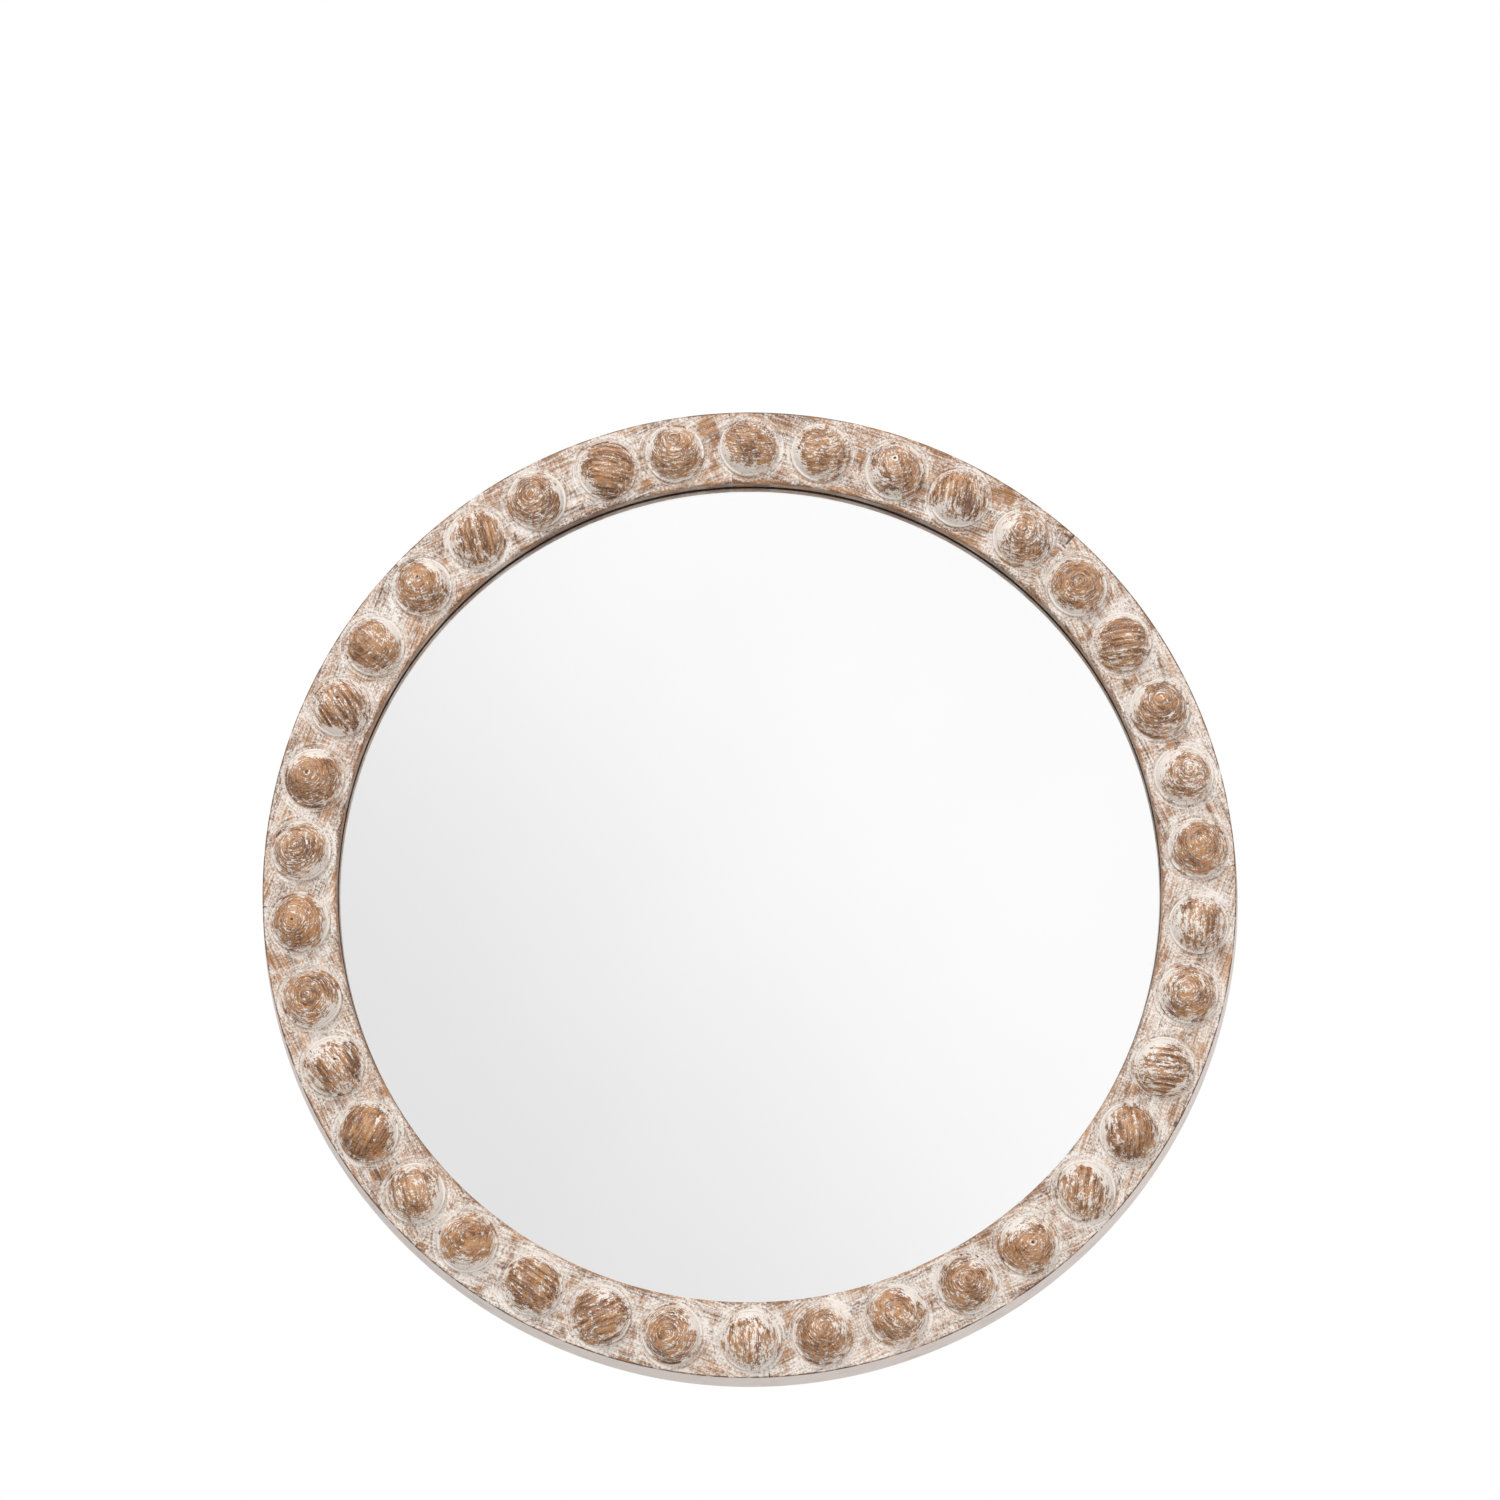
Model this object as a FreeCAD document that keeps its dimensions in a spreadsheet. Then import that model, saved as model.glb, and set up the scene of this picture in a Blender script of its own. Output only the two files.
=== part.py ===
"""Round wall mirror: a wooden ring set with turned studs, its glass, back board and hangers.

The mirror stands upright and faces -Y, with +Z up and +X to the right of someone looking into it. The
origin is the middle of the ring on the wall plane, which the bumpers touch. Lengths are millimetres and
angles degrees. Angles round the ring run from +X towards +Z.
"""

import FreeCAD
import Part
import math
import os
import Sketcher

# Every size that can be set by itself
SIZES = {
    # The wooden ring, glued up from arcs
    "outer_diameter": 600,
    "frame_depth": 40,
    "side_flare": 4.4,
    "face_border": 1.85,
    "edge_bevel": 1,
    "segment_count": 8,
    "lip_share": 0.176,
    "lip_depth": 10.5,
    "ledge_share": 0.264,
    # The turned studs and the dishes that they stand in, which fill the ring's face
    "stud_count": 38,
    "stud_rim_width": 1.9,
    "stud_rim_thickness": 3,
    "stud_cap_share": 0.75,
    "stud_tenon_diameter": 10,
    "stud_tenon_length": 8,
    "stud_wander": 1.2,
    "tenon_clearance": 0.15,
    "socket_end_clearance": 1,
    "dish_depth": 1.5,
    "dish_floor_play": 0.3,
    "dish_slope_width": 2,
    "dish_gap": 4.04,
    # The dowels in the glued joints
    "dowel_diameter": 8,
    "dowel_length": 30,
    "dowel_spacing": 11,
    "dowel_back_cover": 8,
    "dowel_clearance": 0.1,
    "dowel_end_clearance": 0.8,
    # What lies in the rebate, from the front
    "glass_thickness": 4,
    "glass_play": 1.5,
    "sheet_thickness": 2,
    "board_thickness": 6,
    "board_play": 0.5,
    # The screws of the back board
    "board_screw_count": 12,
    "board_screw_diameter": 3,
    "board_screw_length": 16,
    "board_screw_head_diameter": 6,
    "board_screw_head_height": 1.8,
    # The hangers
    "hanger_angle": 30,
    "strap_width": 12,
    "strap_thickness": 1.2,
    "strap_hole_offset": 9,
    "strap_hole_spacing": 10,
    "ring_wire_diameter": 2.4,
    "ring_corner_radius": 2.5,
    "ring_side_play": 0.5,
    "ring_clearance": 0.1,
    "ring_rest_gap": 0.3,
    "hanger_screw_diameter": 3.5,
    "hanger_screw_length": 16,
    "hanger_screw_head_diameter": 6.5,
    "hanger_screw_head_height": 2,
    # What all the screws share
    "screw_head_bevel": 0.7,
    "screw_point_length": 4,
    "screw_clearance": 0.1,
    "screw_tip_clearance": 0.5,
    # The rubber bumpers
    "bumper_angle": 60,
    "bumper_diameter": 16,
    "bumper_taper": 1,
    "bumper_thickness": 6,
}

# Sizes worked out from those above, where each uses only earlier ones
WORKED = {
    "outer_radius": "Sizes.outer_diameter / 2",
    "stud_total": "floor(Sizes.stud_count)",
    "stud_step": "360 / stud_total",
    "half_pitch_share": "pi / stud_total",
    "half_pitch_outside": "half_pitch_share * (outer_radius - Sizes.face_border)",
    "dish_radius": "(half_pitch_outside - Sizes.dish_gap / 2) / (1 + half_pitch_share)",
    "dish_floor_radius": "dish_radius - Sizes.dish_slope_width",
    "rim_radius": "dish_floor_radius - Sizes.dish_floor_play",
    "dome_radius": "rim_radius - Sizes.stud_rim_width",
    "face_width": "2 * dish_radius + 2 * Sizes.face_border",
    "lip_width": "face_width * Sizes.lip_share",
    "ledge_width": "face_width * Sizes.ledge_share",
    "opening_radius": "outer_radius - face_width",
    "stud_circle": "outer_radius - face_width / 2",
    "wander_angle": "Sizes.stud_wander / stud_circle * 180 / pi",
    "cap_height": "dome_radius * Sizes.stud_cap_share",
    "stud_height": "cap_height + Sizes.stud_rim_thickness",
    "cap_sphere_radius": "(dome_radius ^ 2 + cap_height ^ 2) / (2 * cap_height)",
    "socket_radius": "Sizes.stud_tenon_diameter / 2 + Sizes.tenon_clearance",
    "socket_depth": "Sizes.stud_tenon_length + Sizes.socket_end_clearance",
    "segment_total": "floor(Sizes.segment_count)",
    "segment_angle": "360 / segment_total",
    "rebate_radius": "opening_radius + lip_width",
    "ledge_radius": "rebate_radius + ledge_width",
    "ledge_depth": "Sizes.lip_depth + Sizes.glass_thickness + Sizes.sheet_thickness",
    "ledge_circle": "rebate_radius + ledge_width / 2",
    "back_radius": "outer_radius + Sizes.side_flare",
    "back_circle": "(ledge_radius + back_radius) / 2",
    "back_place": "-Sizes.bumper_thickness",
    "front_place": "back_place - Sizes.frame_depth",
    "seat_place": "front_place + Sizes.dish_depth",
    "glass_place": "front_place + Sizes.lip_depth",
    "sheet_place": "glass_place + Sizes.glass_thickness",
    "board_place": "sheet_place + Sizes.sheet_thickness",
    "board_back_place": "board_place + Sizes.board_thickness",
    "board_screw_total": "floor(Sizes.board_screw_count)",
    "board_screw_step": "360 / board_screw_total",
    "glass_radius": "rebate_radius - Sizes.glass_play",
    "board_radius": "ledge_radius - Sizes.board_play",
    "dowel_place": "back_place - Sizes.dowel_back_cover - Sizes.dowel_diameter / 2",
    "dowel_hole_length": "Sizes.dowel_length + 2 * Sizes.dowel_end_clearance",
    "wire_radius": "Sizes.ring_wire_diameter / 2",
    "loop_radius": "wire_radius + Sizes.ring_clearance",
    "loop_outer_radius": "loop_radius + Sizes.strap_thickness",
    "loop_place": "back_place + loop_outer_radius",
    "strap_back_place": "back_place + 2 * Sizes.strap_thickness",
    "strap_length": "Sizes.strap_hole_offset + Sizes.strap_hole_spacing",
    "ring_half_bar": "Sizes.strap_width / 2 + Sizes.ring_side_play",
    "ring_bow_radius": "ring_half_bar + Sizes.ring_corner_radius",
    "ring_reach": "Sizes.ring_corner_radius + ring_bow_radius",
    "ring_lean": "asin((loop_outer_radius - wire_radius - Sizes.ring_rest_gap) / ring_reach)",
}

TOP = 90  # the first stud stands at the top of the ring
WANDER_TURN = 137.5  # spreads the studs' small hand-set offsets evenly
JOINT_STUD = 4.5  # one glued joint falls midway between the fifth and sixth studs
CUT_OVERRUN = 1  # how far a cutting shape stands out past the face that it cuts
BOARD_SCREW_START = 0.5  # the board's screws start half a step from the horizontal
SIDES = {"right": 1, "left": -1}

# Axis and angle of the turn that points a cylinder drawn along Z to the back or to the front
TO_BACK = ("1; 0; 0", "-90")
TO_FRONT = ("1; 0; 0", "90")
AS_DRAWN = ("0; 1; 0", "0")

doc = FreeCAD.newDocument("RoundMirror")


def fill_sheet(name, cells, mark):
    """A sheet with one named cell to a row: the name in column A, the number or formula in column B."""
    sheet = doc.addObject("Spreadsheet::Sheet", name)
    for row, (alias, content) in enumerate(cells.items(), start=1):
        sheet.set(f"A{row}", alias)
        sheet.set(f"B{row}", f"{mark}{content}")
        sheet.setAlias(f"B{row}", alias)
    doc.recompute()
    return sheet


fill_sheet("Sizes", SIZES, "")
worked = fill_sheet("Worked", WORKED, "=")


def number(expression):
    """The present value of an expression on the two sheets."""
    return float(worked.evalExpression(expression))


def profile(name, corners):
    """A closed sketch through corners given as pairs of expressions.

    A corner where an arc starts has the arc's centre as a third item. The arc sets the coordinate that its
    end corner gives as None.
    """
    centres = {i: corner[2] for i, corner in enumerate(corners) if len(corner) > 2}
    sketch = doc.addObject("Sketcher::SketchObject", name)
    spots = []
    for x, y, *_ in corners:
        last = spots[-1] if spots else None
        spots.append(FreeCAD.Vector(number(x) if x else last.x, number(y) if y else last.y))
    ends = []
    for i, start in enumerate(spots):
        end = spots[(i + 1) % len(spots)]
        if i not in centres:
            sketch.addGeometry(Part.LineSegment(start, end), False)
            ends.append((1, 2))
            continue
        centre = FreeCAD.Vector(*(number(c) for c in centres[i]))
        circle = Part.Circle(centre, FreeCAD.Vector(0, 0, 1), (start - centre).Length)
        turn = (start - centre).cross(end - centre).z
        first, second = (start, end) if turn > 0 else (end, start)
        arc = Part.ArcOfCircle(circle, circle.parameter(first), circle.parameter(second))
        sketch.addGeometry(arc, False)
        ends.append((1, 2) if turn > 0 else (2, 1))
    for i in range(len(spots)):
        after = (i + 1) % len(spots)
        sketch.addConstraint(Sketcher.Constraint("Coincident", i, ends[i][1], after, ends[after][0]))

    def bind(kind, edge, point, expression):
        value = number(expression)
        index = sketch.addConstraint(Sketcher.Constraint(kind, -1, 1, edge, point, value))
        sketch.setExpression(f"Constraints[{index}]", expression)

    for i, (x, y, *_) in enumerate(corners):
        if x:
            bind("DistanceX", i, ends[i][0], x)
        if y:
            bind("DistanceY", i, ends[i][0], y)
    for i, (x, y) in centres.items():
        # An arc's third point is its centre.
        bind("DistanceX", i, 3, x)
        bind("DistanceY", i, 3, y)
    return sketch


def place(item, angle, radius, depth, along="0", turned=AS_DRAWN):
    """Puts an item at a radius and depth of the ring and a distance along it, turned round the ring."""
    axis, turn = turned
    item.setExpression(
        "Placement",
        f"placement(vector(0; 0; 0); rotation(vector(0; -1; 0); {angle}))"
        f" * placement(vector({radius}; {depth}; {along}); rotation(vector({axis}); {turn}))",
    )
    return item


def turned_piece(name, sketch, angle="360"):
    """A solid spun from a profile about its Y axis, from +X towards +Z."""
    piece = doc.addObject("Part::Revolution", name)
    piece.Source = sketch
    piece.Axis = FreeCAD.Vector(0, -1, 0)
    piece.Solid = True
    piece.setExpression("Angle", angle)
    return piece


def cylinder(name, radius, height):
    piece = doc.addObject("Part::Cylinder", name)
    piece.setExpression("Radius", radius)
    piece.setExpression("Height", height)
    return piece


def group(name, items):
    """Separate solids kept together as one named piece."""
    kept = doc.addObject("Part::Compound", name)
    kept.Links = items
    return kept


def cut(name, base, tools):
    """A piece with every tool's shape taken out of it."""
    piece = doc.addObject("Part::Cut", name)
    piece.Base = base
    piece.Tool = group(f"{name}_cutters", tools)
    return piece


def fuse(name, items):
    piece = doc.addObject("Part::MultiFuse", name)
    piece.Shapes = items
    return piece


def stud_angle(i):
    """Where a stud stands: an even step round the ring and a small hand-set offset."""
    return f"{TOP} - {i} * Worked.stud_step + Worked.wander_angle * sin({i} * {WANDER_TURN})"


def joint_angle(k):
    return f"{TOP} - {JOINT_STUD} * Worked.stud_step + {k} * Worked.segment_angle"


def angles_apart(one, other):
    """The angle between two directions, from 0 to 180."""
    return abs((one - other + 180) % 360 - 180)


# Profiles that several pieces share
ring_section = profile(
    "ring_section",
    [
        ("Worked.opening_radius + Sizes.edge_bevel", "0"),
        ("Worked.outer_radius - Sizes.edge_bevel", "0"),
        ("Worked.outer_radius", "Sizes.edge_bevel"),
        ("Worked.back_radius", "Sizes.frame_depth - Sizes.edge_bevel"),
        ("Worked.back_radius - Sizes.edge_bevel", "Sizes.frame_depth"),
        ("Worked.ledge_radius", "Sizes.frame_depth"),
        ("Worked.ledge_radius", "Worked.ledge_depth"),
        ("Worked.rebate_radius", "Worked.ledge_depth"),
        ("Worked.rebate_radius", "Sizes.lip_depth"),
        ("Worked.opening_radius", "Sizes.lip_depth"),
        ("Worked.opening_radius", "Sizes.edge_bevel"),
    ],
)

# A stud's flat seat is at 0, its dome towards the front and its tenon towards the back.
dome_centre = ("0", "Worked.cap_sphere_radius - Worked.stud_height")
stud_profile = profile(
    "stud_profile",
    [
        ("0", "Sizes.stud_tenon_length"),
        ("Sizes.stud_tenon_diameter / 2", "Sizes.stud_tenon_length"),
        ("Sizes.stud_tenon_diameter / 2", "0"),
        ("Worked.rim_radius", "0"),
        ("Worked.rim_radius", "-Sizes.stud_rim_thickness"),
        ("Worked.dome_radius", "-Sizes.stud_rim_thickness", dome_centre),
        ("0", None),
    ],
)

socket_profile = profile(
    "socket_profile",
    [
        ("0", "Worked.socket_depth"),
        ("Worked.socket_radius", "Worked.socket_depth"),
        ("Worked.socket_radius", "0"),
        ("Worked.dish_floor_radius", "0"),
        ("Worked.dish_radius", "-Sizes.dish_depth"),
        ("Worked.dish_radius", f"-Sizes.dish_depth - {CUT_OVERRUN}"),
        ("0", f"-Sizes.dish_depth - {CUT_OVERRUN}"),
    ],
)


def screw_profile(kind):
    """A pan-head wood screw with the underside of its head at 0 and its point towards the front."""
    head = f"Sizes.{kind}_head_diameter / 2"
    height = f"Sizes.{kind}_head_height"
    shank = f"Sizes.{kind}_diameter / 2"
    length = f"Sizes.{kind}_length"
    return profile(
        f"{kind}_profile",
        [
            ("0", height),
            (f"{head} - Sizes.screw_head_bevel", height),
            (head, f"{height} - Sizes.screw_head_bevel"),
            (head, "0"),
            (shank, "0"),
            (shank, f"Sizes.screw_point_length - {length}"),
            ("0", f"-{length}"),
        ],
    )


def screws(kind, places):
    """Screws and the bores that they need, at places given as angle, radius, depth and distance along."""
    sketch = screw_profile(kind)
    made, bores = [], []
    for n, spot in enumerate(places, start=1):
        made.append(place(turned_piece(f"{kind}_{n}", sketch), *spot))
        bore = cylinder(
            f"{kind}_bore_{n}",
            f"Sizes.{kind}_diameter / 2 + Sizes.screw_clearance",
            f"Sizes.{kind}_length + Sizes.screw_tip_clearance",
        )
        bores.append(place(bore, *spot, turned=TO_FRONT))
    return made, bores


def make_studs():
    """The studs, and the cutter of each one's dish and socket."""
    studs, sockets = [], []
    for i in range(int(number("Worked.stud_total"))):
        spot = (stud_angle(i), "Worked.stud_circle", "Worked.seat_place")
        studs.append(place(turned_piece(f"stud_{i + 1:02d}", stud_profile), *spot))
        sockets.append(place(turned_piece(f"socket_{i + 1:02d}", socket_profile), *spot))
    return studs, sockets


def make_dowels(segment_total):
    """Two dowels across each glued joint, and the holes that they lie in."""
    dowels, holes = [], []
    for k in range(segment_total):
        for side in SIDES.values():
            radius = f"Worked.back_circle + {side} * Sizes.dowel_spacing / 2"
            spot = (joint_angle(k), radius, "Worked.dowel_place")
            name = f"{k + 1}_{len(dowels) + 1}"
            dowel = cylinder(f"dowel_{name}", "Sizes.dowel_diameter / 2", "Sizes.dowel_length")
            dowels.append(place(dowel, *spot, along="-Sizes.dowel_length / 2"))
            hole = cylinder(
                f"dowel_hole_{name}",
                "Sizes.dowel_diameter / 2 + Sizes.dowel_clearance",
                "Worked.dowel_hole_length",
            )
            holes.append(place(hole, *spot, along="-Worked.dowel_hole_length / 2"))
    return dowels, holes


def ring_span(item):
    """The angle round the ring at which an item stands, and half the angle that it can take up."""
    middle = item.Shape.CenterOfMass
    half_length = item.Shape.BoundBox.DiagonalLength / 2
    half_angle = half_length / math.hypot(middle.x, middle.z)
    return math.degrees(math.atan2(middle.z, middle.x)), math.degrees(half_angle)


def make_segments(segment_total, cutters):
    """The arcs of the ring, each with the dishes, sockets and holes that reach into it."""
    segments = []
    half_segment = number("Worked.segment_angle") / 2
    for k in range(segment_total):
        blank = turned_piece(f"segment_blank_{k + 1}", ring_section, "Worked.segment_angle")
        place(blank, joint_angle(k), "0", "Worked.front_place")
        middle = number(joint_angle(k)) + half_segment
        tools = []
        for item in cutters:
            angle, half_angle = ring_span(item)
            if angles_apart(angle, middle) < half_segment + half_angle:
                tools.append(item)
        segments.append(cut(f"frame_segment_{k + 1}", blank, tools))
    return segments


def make_disc(name, radius, thickness, depth):
    return place(cylinder(name, radius, thickness), "0", "0", depth, turned=TO_BACK)


def hanger_spot(side, depth, along="0"):
    """A place on the back of the ring, where the strap runs along the ring and its loop is uppermost."""
    return (f"{side} * Sizes.hanger_angle", f"{side} * Worked.back_circle", depth, along)


def make_strap(name, side, bores):
    """A strap folded double round the ring's bar, with a round tail."""
    plate = doc.addObject("Part::Box", f"{name}_plate")
    plate.setExpression("Length", "Sizes.strap_width")
    plate.setExpression("Width", "2 * Sizes.strap_thickness")
    plate.setExpression("Height", "Worked.strap_length")
    plate.setExpression("Placement.Base.x", "-Sizes.strap_width / 2")
    plate.setExpression("Placement.Base.z", "-Worked.strap_length")
    tail = cylinder(f"{name}_tail", "Sizes.strap_width / 2", "2 * Sizes.strap_thickness")
    place(tail, "0", "0", "0", "-Worked.strap_length", TO_BACK)
    across = ("0; 1; 0", "90")
    loop = cylinder(f"{name}_loop", "Worked.loop_outer_radius", "Sizes.strap_width")
    place(loop, "0", "-Sizes.strap_width / 2", "Worked.loop_outer_radius", turned=across)
    body = fuse(f"{name}_body", [plate, tail, loop])
    place(body, *hanger_spot(side, "Worked.back_place"))
    eye = cylinder(f"{name}_eye", "Worked.loop_radius", f"Sizes.strap_width + 2 * {CUT_OVERRUN}")
    eye_start = f"{side} * Worked.back_circle - Sizes.strap_width / 2 - {CUT_OVERRUN}"
    place(eye, f"{side} * Sizes.hanger_angle", eye_start, "Worked.loop_place", turned=across)
    return cut(name, body, [eye, *bores])


def make_ring(name, side):
    """A wire ring with a straight bar, two tight corners and a half-round bow, leaning on the frame."""
    bar = cylinder(f"{name}_bar", "Worked.wire_radius", "2 * Worked.ring_half_bar")
    place(bar, "0", "-Worked.ring_half_bar", "0", turned=("0; 1; 0", "90"))
    half_turn, quarter_turn = "180", "90"
    bends = [
        ("outer_corner", "Worked.ring_half_bar", "Sizes.ring_corner_radius", quarter_turn, "-90"),
        ("inner_corner", "-Worked.ring_half_bar", "Sizes.ring_corner_radius", quarter_turn, "180"),
        ("bow", "0", "Worked.ring_bow_radius", half_turn, "0"),
    ]
    wires = [bar]
    for word, across, radius, sweep, start in bends:
        bend = doc.addObject("Part::Torus", f"{name}_{word}")
        bend.setExpression("Radius1", radius)
        bend.setExpression("Radius2", "Worked.wire_radius")
        bend.setExpression("Angle3", sweep)
        bend.setExpression(
            "Placement",
            f"placement(vector({across}; 0; Sizes.ring_corner_radius); rotation(vector(1; 0; 0); 90))"
            f" * placement(vector(0; 0; 0); rotation(vector(0; 0; 1); {start}))",
        )
        wires.append(bend)
    ring = fuse(name, wires)
    return place(ring, *hanger_spot(side, "Worked.loop_place"), turned=("1; 0; 0", "Worked.ring_lean"))


def make_bumpers():
    bumpers = []
    for angle in ("{}", "180 - {}", "180 + {}", "-{}"):
        bumper = doc.addObject("Part::Cone", f"bumper_{len(bumpers) + 1}")
        bumper.setExpression("Radius1", "Sizes.bumper_diameter / 2")
        bumper.setExpression("Radius2", "Sizes.bumper_diameter / 2 - Sizes.bumper_taper")
        bumper.setExpression("Height", "Sizes.bumper_thickness")
        where = angle.format("Sizes.bumper_angle")
        bumpers.append(place(bumper, where, "Worked.back_circle", "Worked.back_place", turned=TO_BACK))
    return group("wall_bumpers", bumpers)


def make_mirror():
    """Every piece of the mirror, in the order in which it is put together."""
    segment_total = int(number("Worked.segment_total"))
    studs, sockets = make_studs()
    dowels, dowel_holes = make_dowels(segment_total)

    board_spots = []
    for n in range(int(number("Worked.board_screw_total"))):
        angle = f"({n} + {BOARD_SCREW_START}) * Worked.board_screw_step"
        board_spots.append((angle, "Worked.ledge_circle", "Worked.board_back_place"))
    board_screws, board_bores = screws("board_screw", board_spots)

    strap_holes = ("-Sizes.strap_hole_offset", "-Worked.strap_length")
    hanger_spots = []
    for side in SIDES.values():
        hanger_spots += [hanger_spot(side, "Worked.strap_back_place", hole) for hole in strap_holes]
    hanger_screws, hanger_bores = screws("hanger_screw", hanger_spots)

    doc.recompute()
    cutters = [*sockets, *dowel_holes, *board_bores, *hanger_bores]
    segments = make_segments(segment_total, cutters)

    glass = make_disc("mirror_glass", "Worked.glass_radius", "Sizes.glass_thickness", "Worked.glass_place")
    sheet = make_disc("packing_sheet", "Worked.glass_radius", "Sizes.sheet_thickness", "Worked.sheet_place")
    board_disc = make_disc("board_disc", "Worked.board_radius", "Sizes.board_thickness", "Worked.board_place")
    board = cut("back_board", board_disc, board_bores)

    straps, rings = [], []
    for word, side in SIDES.items():
        own_bores = [hanger_bores.pop(0) for _ in strap_holes]
        straps.append(make_strap(f"hanger_strap_{word}", side, own_bores))
        rings.append(make_ring(f"hanger_ring_{word}", side))

    return [
        *segments,
        group("joint_dowels", dowels),
        *studs,
        glass,
        sheet,
        board,
        group("board_screws", board_screws),
        *straps,
        *rings,
        group("hanger_screws", hanger_screws),
        make_bumpers(),
    ]


def check(pieces):
    """Stops if any step of the model failed or a piece has no sound solid."""
    failed = [o.Label for o in doc.Objects if {"Invalid", "Error"} & set(o.State)]
    for piece in pieces:
        shape = piece.Shape
        if shape.isNull() or not shape.isValid() or not shape.Solids:
            failed.append(piece.Label)
    if failed:
        raise RuntimeError(f"these did not build: {failed}")


pieces = make_mirror()
doc.recompute()
check(pieces)
os.makedirs("parts", exist_ok=True)
for piece in pieces:
    piece.Shape.exportStep(os.path.join("parts", f"{piece.Label}.step"))
print(f"{len(pieces)} pieces, {sum(len(p.Shape.Solids) for p in pieces)} solids")
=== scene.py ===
"""A round wall mirror in a limewashed ring of turned studs: its looks, its stage and its camera.

Every piece is in metres in the frame of the solid model. The mirror faces -Y and its ring stands upright.
"""

import math
import random

import bpy
import numpy as np
from mathutils import Matrix, Vector


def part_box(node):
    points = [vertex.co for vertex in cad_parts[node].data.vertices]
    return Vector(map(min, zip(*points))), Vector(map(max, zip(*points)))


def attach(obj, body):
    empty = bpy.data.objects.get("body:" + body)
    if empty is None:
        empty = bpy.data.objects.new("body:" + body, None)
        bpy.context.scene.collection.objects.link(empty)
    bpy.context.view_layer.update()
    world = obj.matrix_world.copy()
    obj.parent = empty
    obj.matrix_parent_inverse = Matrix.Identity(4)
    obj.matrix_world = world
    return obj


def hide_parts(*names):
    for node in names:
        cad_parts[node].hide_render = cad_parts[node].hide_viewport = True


bl_info = {
    "name": "Round Stud Mirror",
    "version": (1, 0, 0),
    "blender": (4, 5, 0),
    "location": "View3D > Sidebar > Mirror",
    "description": "Builds a round wall mirror in a limewashed ring of turned studs",
    "category": "Object",
}

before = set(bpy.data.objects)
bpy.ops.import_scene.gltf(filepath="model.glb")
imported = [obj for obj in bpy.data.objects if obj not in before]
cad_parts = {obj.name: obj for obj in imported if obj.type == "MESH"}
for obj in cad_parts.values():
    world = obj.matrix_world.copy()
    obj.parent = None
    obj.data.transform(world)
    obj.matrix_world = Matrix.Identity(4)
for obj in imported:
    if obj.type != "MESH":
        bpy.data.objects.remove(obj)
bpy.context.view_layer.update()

MM = 0.001
PER_METRE = 1000.0  # millimetres
STUD_TOTAL = 38
SEGMENT_TOTAL = 8
STUD_STEP = 2 * math.pi / STUD_TOTAL
SEGMENT_STEP = 2 * math.pi / SEGMENT_TOTAL
WANDER_TURN = math.radians(137.5)  # spreads the studs' small offsets evenly
JOINT_STUD = 4.5  # one glued joint falls midway between the fifth and sixth studs
GRAIN_SHIFT = 900.0  # millimetres that a board's grain may be shifted by
DISH_SIZES = ["outer_radius", "opening_radius", "stud_circle", "stud_wander"]
DISH_SIZES += ["dish_floor_radius", "dish_radius", "dish_depth"]

BOARD_SCREW_TOTAL = 12
HANGER_ANGLE = math.radians(30)
STRAP_HOLES = (-0.009, -0.019)  # metres along a strap from its loop
STRAP_LEAVES = 0.0024  # metres, the thickness of a folded strap
BUMPER_ANGLES = (60, 120, 240, 300)  # degrees round from the right

LAMPS = {  # each lamp's place and width in metres, and its power in watts
    "key_lamp": ((-1.6, -3.4, 3.7), 2.4, 146.0),
    "fill_lamp": ((2.8, -2.6, -0.5), 1.6, 20.0),
}
FLOOR_LEVEL = -1.6
FLOOR_HALF = 9.0
FLOOR_FADE = (8800.0, 2400.0)  # millimetres from its middle, between which the floor fades into white
CAMERA_LENS = 106.1
CAMERA_SPOT = Vector((0.0327, -2.698, -0.3728))  # metres from the middle of the ring's face
CAMERA_RISE = math.radians(9.63)
CAMERA_ASIDE = math.radians(-0.68)

TO_WALL = Matrix.Rotation(math.radians(-90), 4, "X")  # turns +Z to +Y
TO_ROOM = Matrix.Rotation(math.radians(90), 4, "X")  # turns +Z to -Y

FILLED_JOINT = (195.0, 217.0)  # millimetres to the right of and above the middle, where filler is smeared
EDGE_CHIP = (260.5, -147.0)  # millimetres, likewise, where the outer edge has lost a chip
BOARD_WASH = (-0.12, -0.02, -0.02, 0.0, 0.10, 0.05, 0.0, 0.0)  # each board's paint over or under the rest
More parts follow.
